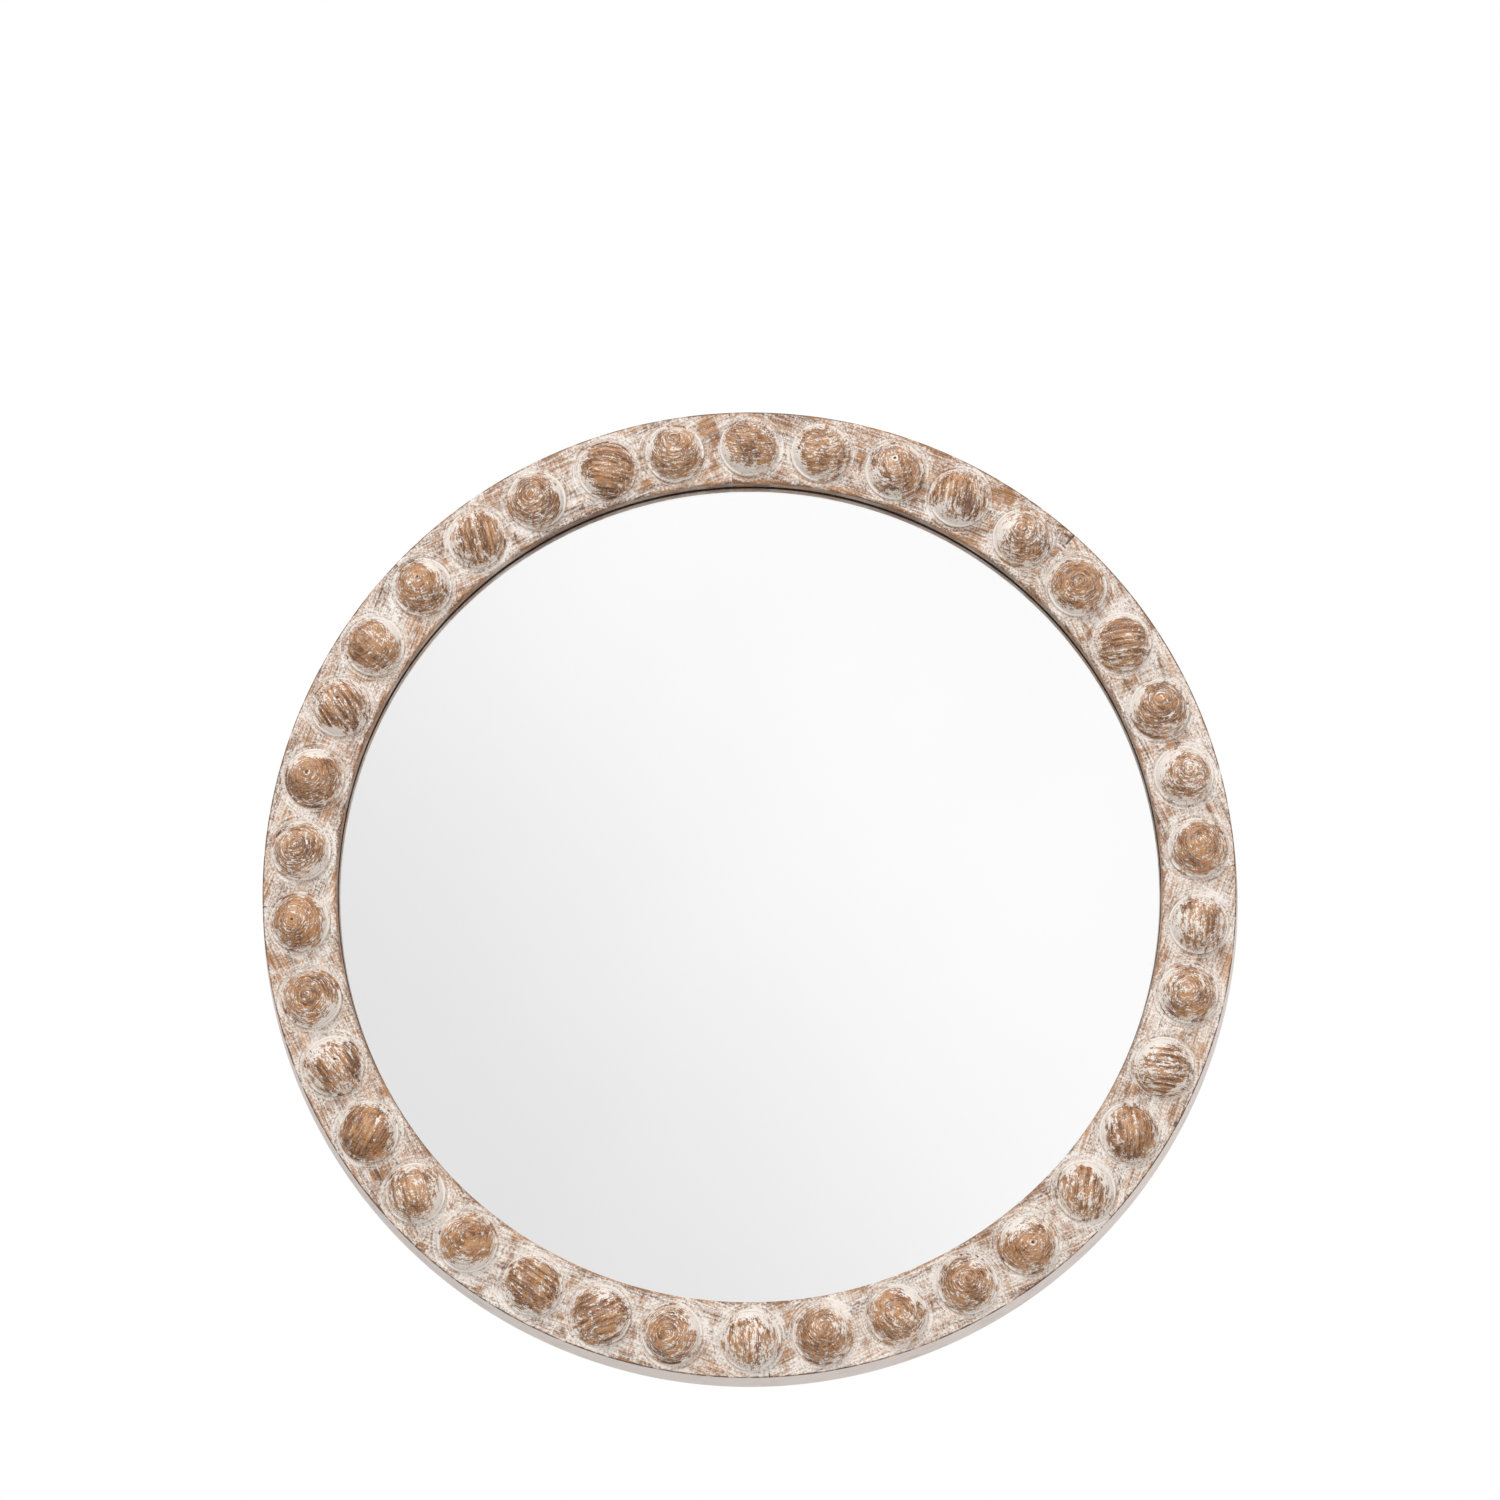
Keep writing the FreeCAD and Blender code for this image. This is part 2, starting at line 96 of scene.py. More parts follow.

# How each stud looks, clockwise from the top and judged one by one: the share of lathe rings against grain
# stripes, the heading of its pole or else of its stripes, the pole's tilt, the side where paint is left, the
# amount of paint, and the lathe's mark: none, half for a bare hole or 1 for a hole ringed with paint.
# Headings are degrees from the right, counter-clockwise.
STUD_LOOKS = (
    (0.8, 90, 66, 235, 0.02, 0.0),
    (0.9, 90, 60, 200, 0.06, 1.0),
    (0.7, 90, 18, 200, 0.10, 1.0),
    (0.1, 82, 60, 240, 0.02, 0.0),
    (0.8, 90, 12, 150, 0.12, 0.0),
    (0.9, 60, 6, 240, -0.08, 0.0),
    (0.2, 8, 20, 115, 0.02, 0.0),
    (1.0, 90, 14, 150, 0.06, 0.0),
    (0.8, 40, 14, 160, 0.22, 0.0),
    (0.9, 60, 12, 140, -0.04, 0.0),
    (0.3, 86, 20, 165, 0.14, 0.0),
    (0.9, 100, 8, 150, 0.08, 0.0),
    (0.0, -8, 30, 120, 0.12, 0.0),
    (0.3, 92, 12, 180, -0.10, 0.0),
    (0.2, 84, 20, 50, 0.08, 0.0),
    (0.7, 10, 8, 110, -0.04, 1.0),
    (0.9, 80, 10, 30, 0.0, 0.0),
    (0.6, 90, 10, 60, 0.02, 0.0),
    (1.0, 80, 14, 50, 0.0, 0.0),
    (0.1, 90, 20, 75, 0.20, 0.0),
    (1.0, 180, 8, 25, 0.05, 0.0),
    (0.2, 24, 20, 75, -0.06, 0.0),
    (0.1, -34, 20, 205, -0.06, 0.0),
    (0.7, 60, 10, 275, -0.06, 0.0),
    (0.5, 100, 6, 350, 0.10, 0.0),
    (0.3, 60, 20, 30, -0.24, 0.0),
    (0.1, -50, 12, 130, 0.08, 0.5),
    (1.0, 140, 6, 315, 0.0, 0.0),
    (0.9, 180, 12, 5, -0.06, 0.5),
    (1.0, 135, 14, 310, 0.06, 0.0),
    (0.8, 150, 14, 100, -0.10, 1.0),
    (0.1, -56, 14, 225, 0.0, 0.5),
    (0.6, 140, 30, 45, 0.06, 0.0),
    (0.7, 120, 16, 45, 0.02, 0.5),
    (0.0, -76, 20, 190, 0.02, 0.0),
    (1.0, 150, 12, 20, 0.0, 0.0),
    (0.1, -8, 20, 200, -0.08, 0.0),
    (1.0, 90, 26, 165, 0.06, 0.0),
)


def linear(code):
    """The linear colour of a six-digit sRGB code."""
    shares = [int(code[i : i + 2], 16) / 255 for i in (0, 2, 4)]
    return tuple(s / 12.92 if s <= 0.04045 else ((s + 0.055) / 1.055) ** 2.4 for s in shares)


def length(name, description, millimetres):
    settings = {"default": millimetres * MM, "min": 0.0, "precision": 4, "unit": "LENGTH"}
    return bpy.props.FloatProperty(name=name, description=description, **settings)


def colour(name, description, code):
    settings = {"default": linear(code), "min": 0.0, "max": 1.0, "size": 3, "subtype": "COLOR"}
    return bpy.props.FloatVectorProperty(name=name, description=description, **settings)


class MirrorSizes(bpy.types.PropertyGroup):
    """Sizes of the visible pieces."""

    outer_radius: length("Outer radius", "Radius of the ring at its face", 300)
    back_radius: length("Back radius", "Radius of the ring at its back", 304.4)
    opening_radius: length("Opening radius", "Radius of the opening in front of the glass", 254.5)
    rebate_radius: length("Rebate radius", "Radius of the step that takes the glass", 262.5)
    ledge_radius: length("Ledge radius", "Radius of the step that takes the back board", 274.5)
    ring_front: length("Front face", "Distance of the ring's face from the wall", 46)
    ring_back: length("Back face", "Distance of the ring's back from the wall", 6)
    glass_front: length("Glass front", "Distance of the pane's front from the wall", 35.5)
    glass_back: length("Glass back", "Distance of the pane's silvered back from the wall", 31.5)
    board_front: length("Board front", "Distance of the back board's front from the wall", 29.5)
    edge_round: length("Edge rounding", "Rounding of the ring's edges", 1.0)
    stud_circle: length("Stud circle", "Radius of the circle that the studs stand on", 277.25)
    stud_wander: length("Stud wander", "How far a stud may stand off its even place", 1.2)
    dome_radius: length("Dome radius", "Radius of a stud's dome at its foot", 16.7)
    dome_height: length("Dome height", "Height of a stud's dome above its rim", 12.5)
    rim_radius: length("Rim radius", "Radius of the rim round a stud's foot", 18.6)
    rim_height: length("Rim height", "Height of the rim above the stud's seat", 3.0)
    dish_floor_radius: length("Dish floor radius", "Radius of the floor of a stud's dish", 18.9)
    dish_radius: length("Dish radius", "Radius of a stud's dish at the ring's face", 20.9)
    dish_depth: length("Dish depth", "Depth of a stud's dish", 1.5)
    dish_filler: length("Dish filler", "Thickness of the filler left in a stud's dish", 1.0)
    crease_depth: length("Crease depth", "Depth of the crease between a stud's dome and its rim", 0.3)
    groove_depth: length("Groove depth", "Depth of the lathe's rings on a stud", 0.16)


class MirrorColours(bpy.types.PropertyGroup):
    """Colours of the finishes."""

    paint: colour("Limewash", "White paint, brushed on and rubbed back", "EDE6DF")
    side_paint: colour("Side paint", "Smooth paint round the outside of the ring", "EBDFDA")
    wood_dark: colour("Dark wood", "Dark grain of the ring and the studs", "623A1E")
    wood_light: colour("Light wood", "Light grain of the ring and the studs", "BE8A5B")
    beech: colour("Beech", "Light grain of the dowels", "D9B98F")
    # this dark colour also paints shade: in the studs' creases and holes, and on the ring's rebate, lip back
    # and strip by the glass
    dirt_and_shade: colour("Cracks", "Dirt in joints and dents", "38261B")
    silver: colour("Silvering", "The pane's silvered back", "FEFEFE")
    pane: colour("Pane", "The pane's own tint", "FFFFFF")
    board: colour("Back board", "Smooth fibreboard", "80593A")
    felt: colour("Packing sheet", "Thin felt behind the glass", "8F8A82")
    zinc: colour("Zinc", "Zinc plate on the screws and straps", "C3C3BC")
    nickel: colour("Nickel", "Nickel plate on the hanging rings", "D6D2C8")
    rubber: colour("Rubber", "Rubber of the bumpers", "2E2D2C")


class Wire:
    """One output of a node tree, on which Python's operators add the nodes that work them out."""

    def __init__(self, socket):
        self.socket = socket

    @staticmethod
    def pick(sockets, key):
        """A socket by its number, by its name, or the first in use."""
        if isinstance(key, int):
            return sockets[key]
        return next((s for s in sockets if s.enabled and key in (None, s.name)), None)

    @staticmethod
    def add(tree, kind, inputs=None, output=None, **settings):
        """One output of a new node, whose settings come before its inputs' values or links."""
        node = tree.nodes.new(kind)
        for name, value in settings.items():
            setattr(node, name, value)
        for key, value in (inputs or {}).items():
            socket = Wire.pick(node.inputs, key)
            if isinstance(value, Wire):
                tree.links.new(value.socket, socket)
            else:
                socket.default_value = value
        return Wire(Wire.pick(node.outputs, output))

    def more(self, kind, inputs=None, output=None, **settings):
        return Wire.add(self.socket.id_data, kind, inputs, output, **settings)

    @staticmethod
    def is_vector(value):
        if isinstance(value, Wire):
            return value.socket.type == "VECTOR"
        return isinstance(value, tuple)

    def worked(self, operation, *operands):
        """A Math node, or a Vector Math node where an operand is a vector."""
        kind = "ShaderNodeMath"
        if any(map(Wire.is_vector, operands)):
            kind = "ShaderNodeVectorMath"
            operands = [(v, v, v) if isinstance(v, (int, float)) else v for v in operands]
        return self.more(kind, dict(enumerate(operands)), operation=operation)

    def maths(self, operation, *values):
        return self.worked(operation, self, *values)

    def __add__(self, other):
        return self.maths("ADD", other)

    def __sub__(self, other):
        return self.maths("SUBTRACT", other)

    def __rsub__(self, other):
        return self.worked("SUBTRACT", other, self)

    def __mul__(self, other):
        return self.maths("MULTIPLY", other)

    def __truediv__(self, other):
        return self.maths("DIVIDE", other)

    __radd__ = __add__
    __rmul__ = __mul__

    def ramp(self, low, high, start=0.0, end=1.0):
        """A soft step from start at low to end at high, the greater of the two, and either may be a link."""
        inputs = {"Value": self, "From Min": low, "From Max": high, "To Min": start, "To Max": end}
        return self.more("ShaderNodeMapRange", inputs, interpolation_type="SMOOTHSTEP")

    def smooth(self, low, high):
        """From 0 at low to 1 at high in a soft step, where either number may be the greater."""
        return self.ramp(low, high) if high > low else self.ramp(high, low, 1.0, 0.0)

    def band(self, low, high, soft):
        """1 between low and high, and 0 outside them, with soft edges."""
        return self.smooth(low - soft, low + soft) * self.smooth(high + soft, high - soft)

    def parts(self):
        """A vector's three numbers."""
        node = self.more("ShaderNodeSeparateXYZ", {0: self}).socket.node
        return [Wire(output) for output in node.outputs]

    def turned(self, angle):
        """A vector turned about Z."""
        return self.more("ShaderNodeVectorRotate", {"Vector": self, "Angle": angle}, rotation_type="Z_AXIS")

    def noise(self, scale, detail=2.0, roughness=0.5, distortion=0.0, seed=None):
        """Noise about 0 on a vector, where scale is one number or three."""
        inputs = {"Vector": self * scale, "Scale": 1.0, "Detail": detail, "Roughness": roughness}
        inputs["Distortion"] = distortion
        if seed is None:
            return self.more("ShaderNodeTexNoise", inputs) - 0.5
        inputs["W"] = seed
        return self.more("ShaderNodeTexNoise", inputs, noise_dimensions="4D") - 0.5

    def mix(self, first, second):
        """A blend of two colours by this share."""
        inputs = {"Factor": self, "A": opaque(first), "B": opaque(second)}
        return self.more("ShaderNodeMix", inputs, data_type="RGBA")


def opaque(value):
    """A colour with its alpha, where it isn't a link."""
    return value if isinstance(value, Wire) else (*value[:3], 1.0)


def new_material(name):
    """A new material, and the place on its object in millimetres."""
    material = bpy.data.materials.new(name)
    material.use_nodes = True
    material.node_tree.nodes.clear()
    return material, Wire.add(material.node_tree, "ShaderNodeTexCoord", output="Object") * PER_METRE


def finished(material, inputs, height=None):
    """The material, ended in one shader with a height in millimetres as its bump."""
    tree = material.node_tree
    if height is not None:
        bump = {"Strength": 1.0, "Distance": MM, "Height": height}
        inputs["Normal"] = height.more("ShaderNodeBump", bump)
    shader = Wire.add(tree, "ShaderNodeBsdfPrincipled", inputs)
    output = tree.nodes.new("ShaderNodeOutputMaterial")
    tree.links.new(shader.socket, output.inputs["Surface"])
    return material


def attribute(material, name, output="Fac"):
    return Wire.add(material.node_tree, "ShaderNodeAttribute", output=output, attribute_name=name)


def distance(aside, above):
    """How far off a place is, from how far it is aside and above."""
    return (aside * aside + above * above).maths("SQRT")


def limewashed_ring(sizes, colours):
    """White paint brushed over brown boards and rubbed back to the wood on edges and flats."""
    material, place = new_material("limewashed_ring")
    board = attribute(material, "board", "Vector")
    names = ("front", "wash", "stud_distance", "between", "joint_distance")
    front, wash, from_stud, between, from_joint = (attribute(material, name) for name in names)
    x, _, z = place.parts()
    radius = distance(x, z)
    from_edge = sizes.outer_radius / MM - radius
    from_lip = radius - sizes.opening_radius / MM
    from_dish = from_stud - sizes.dish_radius / MM
    from_filler = distance(x - FILLED_JOINT[0], z - FILLED_JOINT[1])
    from_chip = distance(x - EDGE_CHIP[0], z - EDGE_CHIP[1])

    rings = board.noise((0.010, 0.20, 0.20), detail=6.0, roughness=0.6, distortion=0.5)
    fibres = board.noise((0.05, 1.7, 1.7), detail=3.0)
    grain = (0.5 + 2.2 * rings + 1.2 * fibres).smooth(0.0, 1.0)
    wood = grain.mix(colours.wood_dark, colours.wood_light)

    patches = board.noise(0.05, detail=4.0, roughness=0.6)
    smudges = board.noise(0.075, detail=3.0, seed=4.0)
    brushed = board.noise((0.05, 0.80, 0.5), detail=3.0, roughness=0.6, distortion=0.2)
    crossed = board.turned(math.radians(84)).noise((0.07, 0.90, 0.5), detail=2.0)
    specks = board.noise(0.75, detail=3.0, roughness=0.65)
    ragged = board.noise(0.14, detail=3.0, roughness=0.6)
    round_stud = {"X": from_stud * 0.9, "Y": x * 0.06, "Z": z * 0.06}
    rounds = from_stud.more("ShaderNodeCombineXYZ", round_stud).noise(1.0, detail=2.0)

    moat = (from_dish + ragged * 8.0 + smudges * 8.0).smooth(5.1, 0.1)
    strokes = (brushed * 1.6 + crossed * 0.6) * (1.0 - moat * 0.5) + rounds * moat * 1.1 + specks * 1.7
    brim = (from_dish + ragged * 3.0).band(0.1, 0.7, 0.25) * (smudges + 0.5).smooth(0.42, 0.58)
    neck = between.smooth(0.45, 0.85)
    outer_wear = (from_edge - ragged * 2.4).smooth(1.3, 0.2)
    inner_wear = (from_lip + ragged * 2.4).smooth(2.2, 0.9)
    rubbed = (smudges + specks * 0.25).smooth(0.02, 0.15) * neck
    filler = (from_filler + ragged * 16.0).smooth(7.0, 5.0)
    scrawl = (smudges * 24.0 + specks * 6.0).maths("SINE").band(0.55, 1.1, 0.2) * filler
    opened = from_joint.smooth(0.9, 0.4) * from_edge.smooth(8.6, 7.8)
    crossing = from_joint.smooth(1.9, 1.3) * from_edge.band(9.6, 10.6, 0.2)
    split = (opened + crossing) * from_filler.smooth(14.0, 12.0)
    chip = (from_chip + ragged * 2.0).smooth(2.3, 1.4)
    local = moat * 0.18 - outer_wear * 0.36 - inner_wear * 0.22 - rubbed * 0.36 - brim * 0.26
    # the last term is painted light: a little more paint in each stud's dish, which lifts the dish's shade
    local = local + filler * 0.35 + from_dish.smooth(1.6, -0.4) * 0.07
    cover = 0.43 + patches * 1.3 + strokes * (0.45 + front * 0.85) + local * front + wash
    paint = cover.smooth(-0.12, 1.06)

    edges = from_edge.smooth(1.0, 0.4) + from_lip.smooth(1.0, 0.5) * 0.12
    marks = (split * 0.9).maths("MAXIMUM", chip * 0.75)
    grime = edges * (ragged + 0.5).smooth(0.38, 0.54) * 0.85 + scrawl * 0.5
    grime = grime.maths("MAXIMUM", marks) * front
    cracks = (smudges + 0.5).smooth(0.50, 0.60) * 0.5 + from_edge.smooth(3.2, 1.8)
    bare = wash.smooth(-0.2, -0.4)
    joint = from_joint.smooth(0.50, 0.10) * (cracks * front * 0.8).maths("MAXIMUM", bare * 0.7)
    # painted shade: where the wash is unlit, the surface takes the dark colour
    painted_unlit_shade = wash.smooth(-0.9, -1.2)
    dark = joint.maths("MAXIMUM", painted_unlit_shade).maths("MAXIMUM", grime)
    tone = 1.0 + patches * 0.16 + specks * 0.16
    paint_colour = wash.smooth(0.3, 0.5).mix(colours.paint, colours.side_paint)
    shaded = {"Factor": 1.0, "A": paint.mix(wood, paint_colour), "B": tone}
    toned = tone.more("ShaderNodeMix", shaded, data_type="RGBA", blend_type="MULTIPLY")
    final = dark.mix(toned, colours.dirt_and_shade)
    lumps = specks * 0.12 + strokes * 0.10
    height = paint * 0.10 + lumps * front + fibres * 0.06 - joint * 0.3
    roughness = 0.58 + paint * 0.16 + specks * 0.1
    return finished(material, {"Base Color": final, "Roughness": roughness}, height)


def limewashed_stud(sizes, colours):
    """Turned brown wood with white paint left in its rings, its pores and the crease at its foot."""
    material, place = new_material("limewashed_stud")
    lathe = attribute(material, "lathe", "Vector")
    grain = attribute(material, "grain", "Vector")
    names = ("from_axis", "pale_side", "wash", "stud_seed", "ringed", "mark")
    from_axis, pale_side, wash, seed, ringed, mark = (attribute(material, name) for name in names)
    from_foot = from_axis - sizes.dome_radius / MM
    bead = (sizes.rim_radius - sizes.dome_radius) / MM

    layer, _, _ = grain.parts()
    bend = grain.noise((0.09, 0.05, 0.05), detail=2.0, seed=seed)
    growth = (layer * 1.7 + bend * 10.0).maths("SINE")
    fibres = grain.noise((0.95, 0.4, 0.07), detail=3.0, roughness=0.65, seed=seed)
    bands = grain.noise((0.36, 0.16, 0.035), detail=3.0, roughness=0.6, seed=seed + 11.0)
    clouds = grain.noise((0.07, 0.07, 0.06), detail=2.0, seed=seed + 7.0)

    lathe_x, lathe_y, along = lathe.parts()
    from_pole = distance(lathe_x, lathe_y)
    arc = from_pole.maths("ARCTAN2", along) * (dome_sphere(sizes) / MM)
    turning = lathe.more("ShaderNodeCombineXYZ", {"X": lathe_x, "Y": lathe_y, "Z": arc})
    lines = turning.noise((0.2, 0.2, 1.0), detail=3.0, roughness=0.65, seed=seed)
    patches = grain.noise((0.10, 0.10, 0.08), detail=3.0, roughness=0.6, seed=seed + 3.0)
    flakes = grain.noise((0.30, 0.30, 0.20), detail=4.0, roughness=0.62, distortion=0.4, seed=seed + 5.0)
    round_dashes = turning.noise((0.34, 0.34, 1.1), detail=3.0, roughness=0.65, seed=seed + 13.0)
    grain_dashes = grain.noise((1.0, 0.7, 0.26), detail=3.0, roughness=0.65, seed=seed + 17.0)
    dashes = round_dashes * ringed + grain_dashes * (1.0 - ringed)
    specks = place.noise((0.85, 0.85, 0.8), detail=3.0, roughness=0.65) * 0.55 + dashes * 0.95
    stripes = fibres * 0.7 + bands * 0.8 + growth * 0.04
    streaks = lines * ringed + stripes * (1.0 - ringed)
    tone = (0.50 + streaks * 2.1 + fibres * 1.2 + clouds * 1.7 - specks * 3.4).smooth(0.0, 1.0)
    wood = tone.mix(colours.wood_dark, colours.wood_light)

    on_top = along.smooth(2.0, 5.0)
    # the hole at the pole is painted dark: painted shade in the recess
    hole = from_pole.smooth(0.95, 0.55) * on_top * mark.smooth(0.2, 0.4)
    mark_ring = from_pole.band(1.2, 2.2, 0.3) * on_top * mark.smooth(0.6, 0.9)
    # foot: more paint towards the dome's foot, partly paint left round the foot and partly painted light that
    # lifts the shade on the dome's sloping sides
    foot = (from_foot + patches * 9.0 + flakes * 2.0).smooth(-4.1, -0.3)
    crease = from_foot.band(-0.2, 0.6, 0.2)
    rim = from_foot.smooth(0.4, 0.8)
    drift = (pale_side + patches * 1.3 + specks * 0.4).smooth(0.40, 1.05)
    bare_rim = rim * (place.noise(0.06, detail=2.0) + 0.5).smooth(0.51, 0.60)
    edging = crease * 0.42 + rim * 0.50 - bare_rim * 0.84
    region = 0.33 + patches * 1.6 + clouds * 0.7 + drift * 0.84 + wash * 1.4 + edging * 0.9 + foot * 0.30
    flecks = flakes * 1.8 + streaks * 2.8 + specks * 5.0 + mark_ring * 0.6
    left = (flecks + region * 0.95 - 0.52).smooth(0.0, 0.50)
    film = (0.10 + patches * 0.5 + streaks * 1.4 + specks * 2.4 + wash * 0.5 + edging).smooth(0.0, 1.0)
    paint = film.maths("MAXIMUM", left * 0.94)
    # painted shade: dark lines in the crease at the dome's foot and round the rim's outer foot
    painted_crease_shade = from_foot.band(0.05, 0.35, 0.15) + from_foot.smooth(bead - 0.25, bead)
    dark = hole.maths("MAXIMUM", painted_crease_shade * (flakes + 0.5).smooth(0.40, 0.60) * 0.32)
    final = dark.mix(paint.mix(wood, colours.paint), colours.dirt_and_shade)
    height = paint * 0.06 + lines * 0.18 + fibres * 0.10 - hole * 0.5 + mark_ring * 0.05
    roughness = 0.48 + paint * 0.22 + specks * 0.1
    return finished(material, {"Base Color": final, "Roughness": roughness}, height)


def dowel_beech(colours):
    """Unpainted beech, as the hidden dowels have."""
    material, place = new_material("dowel_beech")
    fibres = place.noise((0.3, 1.2, 0.3), detail=4.0)
    tone = (0.5 + fibres * 2.0).smooth(0.0, 1.0)
    wood = tone.mix(colours.wood_light, colours.beech)
    return finished(material, {"Base Color": wood, "Roughness": 0.62 + fibres * 0.1}, fibres * 0.05)


def fibreboard(colours):
    """Pressed fibres, smooth and mottled, with a few pale flecks."""
    material, place = new_material("fibreboard")
    mottle = place.noise(0.05, detail=5.0, roughness=0.65)
    clumps = place.noise(0.24, detail=5.0, roughness=0.7, distortion=0.8)
    fibres = place.noise(0.9, detail=4.0, roughness=0.7, distortion=1.6)
    flecks = (place.noise(0.45, detail=1.0, distortion=2.0) + 0.5).smooth(0.64, 0.70) * 0.5
    dark = tuple(c * 0.55 for c in colours.board)
    pale = tuple(min(1.0, c * 1.7) for c in colours.board)
    tone = (0.5 + mottle * 1.1 + clumps * 1.7 + fibres * 1.6).smooth(0.0, 1.0)
    body = flecks.mix(tone.mix(dark, colours.board), pale)
    return finished(material, {"Base Color": body, "Roughness": 0.55 + fibres * 0.3}, fibres * 0.06)


def packing_felt(colours):
    """Thin grey felt."""
    material, place = new_material("packing_felt")
    fluff = place.noise(1.1, detail=5.0, roughness=0.7, distortion=2.0)
    dark = tuple(c * 0.6 for c in colours.felt)
    felt = (0.5 + fluff * 2.0).smooth(0.0, 1.0).mix(dark, colours.felt)
    return finished(material, {"Base Color": felt, "Roughness": 0.95 + fluff * 0.05}, fluff * 0.4)


def plated_metal(name, base, roughness, scratches):
    """Plated metal with faint clouding and fine scratches."""
    material, place = new_material(name)
    clouds = place.noise(0.3, detail=4.0)
    lines = place.noise((0.4, 3.5, 3.5), detail=2.0)
    dull = tuple(c * 0.72 for c in base)
    plate = (0.62 + clouds * 1.6).smooth(0.0, 1.0).mix(dull, base)
    rough = roughness + clouds * 0.25 + lines * 0.12
    return finished(material, {"Base Color": plate, "Metallic": 1.0, "Roughness": rough}, lines * scratches)


def bumper_rubber(colours):
    """Matt moulded rubber with a dusty bloom."""
    material, place = new_material("bumper_rubber")
    grit = place.noise(2.2, detail=3.0)
    bloom = place.noise(0.25, detail=3.0)
    dusty = tuple(c * 2.4 for c in colours.rubber)
    rubber = (0.35 + bloom * 1.6).smooth(0.0, 1.0).mix(colours.rubber, dusty)
    return finished(material, {"Base Color": rubber, "Roughness": 0.72 + grit * 0.2}, grit * 0.12)


def clear_pane(colours):
    """The pane's front and edge."""
    material, place = new_material("clear_pane")
    smears = place.noise(0.012, detail=3.0, distortion=1.0)
    inputs = {
        "Base Color": opaque(colours.pane),
        "Transmission Weight": 1.0,
        "IOR": 1.52,
        "Roughness": (0.5 + smears).smooth(0.5, 0.8) * 0.012,
    }
    return finished(material, inputs)


def silvering(colours):
    """The pane's silvered back."""
    material, place = new_material("silvering")
    clouds = place.noise(0.008, detail=2.0)
    worn = tuple(c * 0.985 for c in colours.silver)
    silver = (0.5 + clouds * 2.0).smooth(0.0, 1.0).mix(worn, colours.silver)
    return finished(material, {"Base Color": silver, "Metallic": 1.0, "Roughness": 0.0})


def new_tree(name, sockets):
    """A geometry tree and its inputs: the geometry and the sockets, given by name and kind."""
    tree = bpy.data.node_groups.new(name, "GeometryNodeTree")
    tree.interface.new_socket("Geometry", in_out="INPUT", socket_type="NodeSocketGeometry")
    tree.interface.new_socket("Geometry", in_out="OUTPUT", socket_type="NodeSocketGeometry")
    for socket, kind in sockets.items():
        tree.interface.new_socket(socket, in_out="INPUT", socket_type=f"NodeSocket{kind}")
    node = tree.nodes.new("NodeGroupInput")
    return tree, {output.name: Wire(output) for output in node.outputs if output.name}


def end_tree(tree, geometry, material):
    """Ends a tree in real meshes with their material."""
    real = Wire.add(tree, "GeometryNodeRealizeInstances", {"Geometry": geometry})
    dressed = Wire.add(tree, "GeometryNodeSetMaterial", {"Geometry": real, "Material": material})
    output = tree.nodes.new("NodeGroupOutput")
    tree.links.new(dressed.socket, output.inputs["Geometry"])


def store(geometry, name, value, kind="FLOAT"):
    inputs = {"Geometry": geometry, "Name": name, "Value": value}
    return geometry.more("GeometryNodeStoreNamedAttribute", inputs, data_type=kind, domain="POINT")


def grown_mesh(mesh, tree, values):
    """The plain mesh that a geometry tree makes of a mesh, with the tree's inputs set by name."""
    source = bpy.data.objects.new("source", mesh)
    bpy.context.scene.collection.objects.link(source)
    modifier = source.modifiers.new(tree.name, "NODES")
    modifier.node_group = tree
    for item in tree.interface.items_tree:
        if item.item_type == "SOCKET" and item.name in values:
            modifier[item.identifier] = values[item.name]
    depsgraph = bpy.context.evaluated_depsgraph_get()
    evaluated = source.evaluated_get(depsgraph)
    made = bpy.data.meshes.new_from_object(evaluated, preserve_all_data_layers=True, depsgraph=depsgraph)
    bpy.data.objects.remove(source)
    return made


def add_piece(name, mesh, nodes, sharp, body="mirror"):
    """Puts a finished mesh into the scene as the piece that stands for these nodes."""
    mesh.name = name
    mesh.shade_smooth()
    mesh.set_sharp_from_angle(angle=math.radians(sharp))
    piece = bpy.data.objects.new(name, mesh)
    bpy.context.scene.collection.objects.link(piece)
    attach(piece, body)
    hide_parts(*nodes)


def dress_node(node, material):
    """Gives a node of the solid model a material."""
    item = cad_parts[node]
    item.data.materials.clear()
    item.data.materials.append(material)


def spun_mesh(name, outline, columns):
    """A closed mesh spun about Z from points of radius and height, from the axis out and back to it."""
    turns = np.arange(columns) * (2 * math.pi / columns)
    rows = outline[1:-1]
    points = [(0.0, 0.0, outline[0][1])]
    for radius, height in rows:
        points += [(radius * math.cos(t), radius * math.sin(t), height) for t in turns]
    points.append((0.0, 0.0, outline[-1][1]))
    faces = []
    last = len(points) - 1
    for c in range(columns):
        d = (c + 1) % columns
        faces.append((0, 1 + c, 1 + d))
        for r in range(len(rows) - 1):
            upper, lower = 1 + r * columns, 1 + (r + 1) * columns
            faces.append((upper + c, lower + c, lower + d, upper + d))
        foot = 1 + (len(rows) - 1) * columns
        faces.append((foot + c, last, foot + d))
    mesh = bpy.data.meshes.new(name)
    mesh.from_pydata(points, [], faces)
    return mesh


def fill_attribute(mesh, name, values, kind="FLOAT"):
    layer = mesh.attributes.new(name, kind, "POINT")
    field = "vector" if kind == "FLOAT_VECTOR" else "value"
    layer.data.foreach_set(field, np.ravel(values).astype(np.float32))


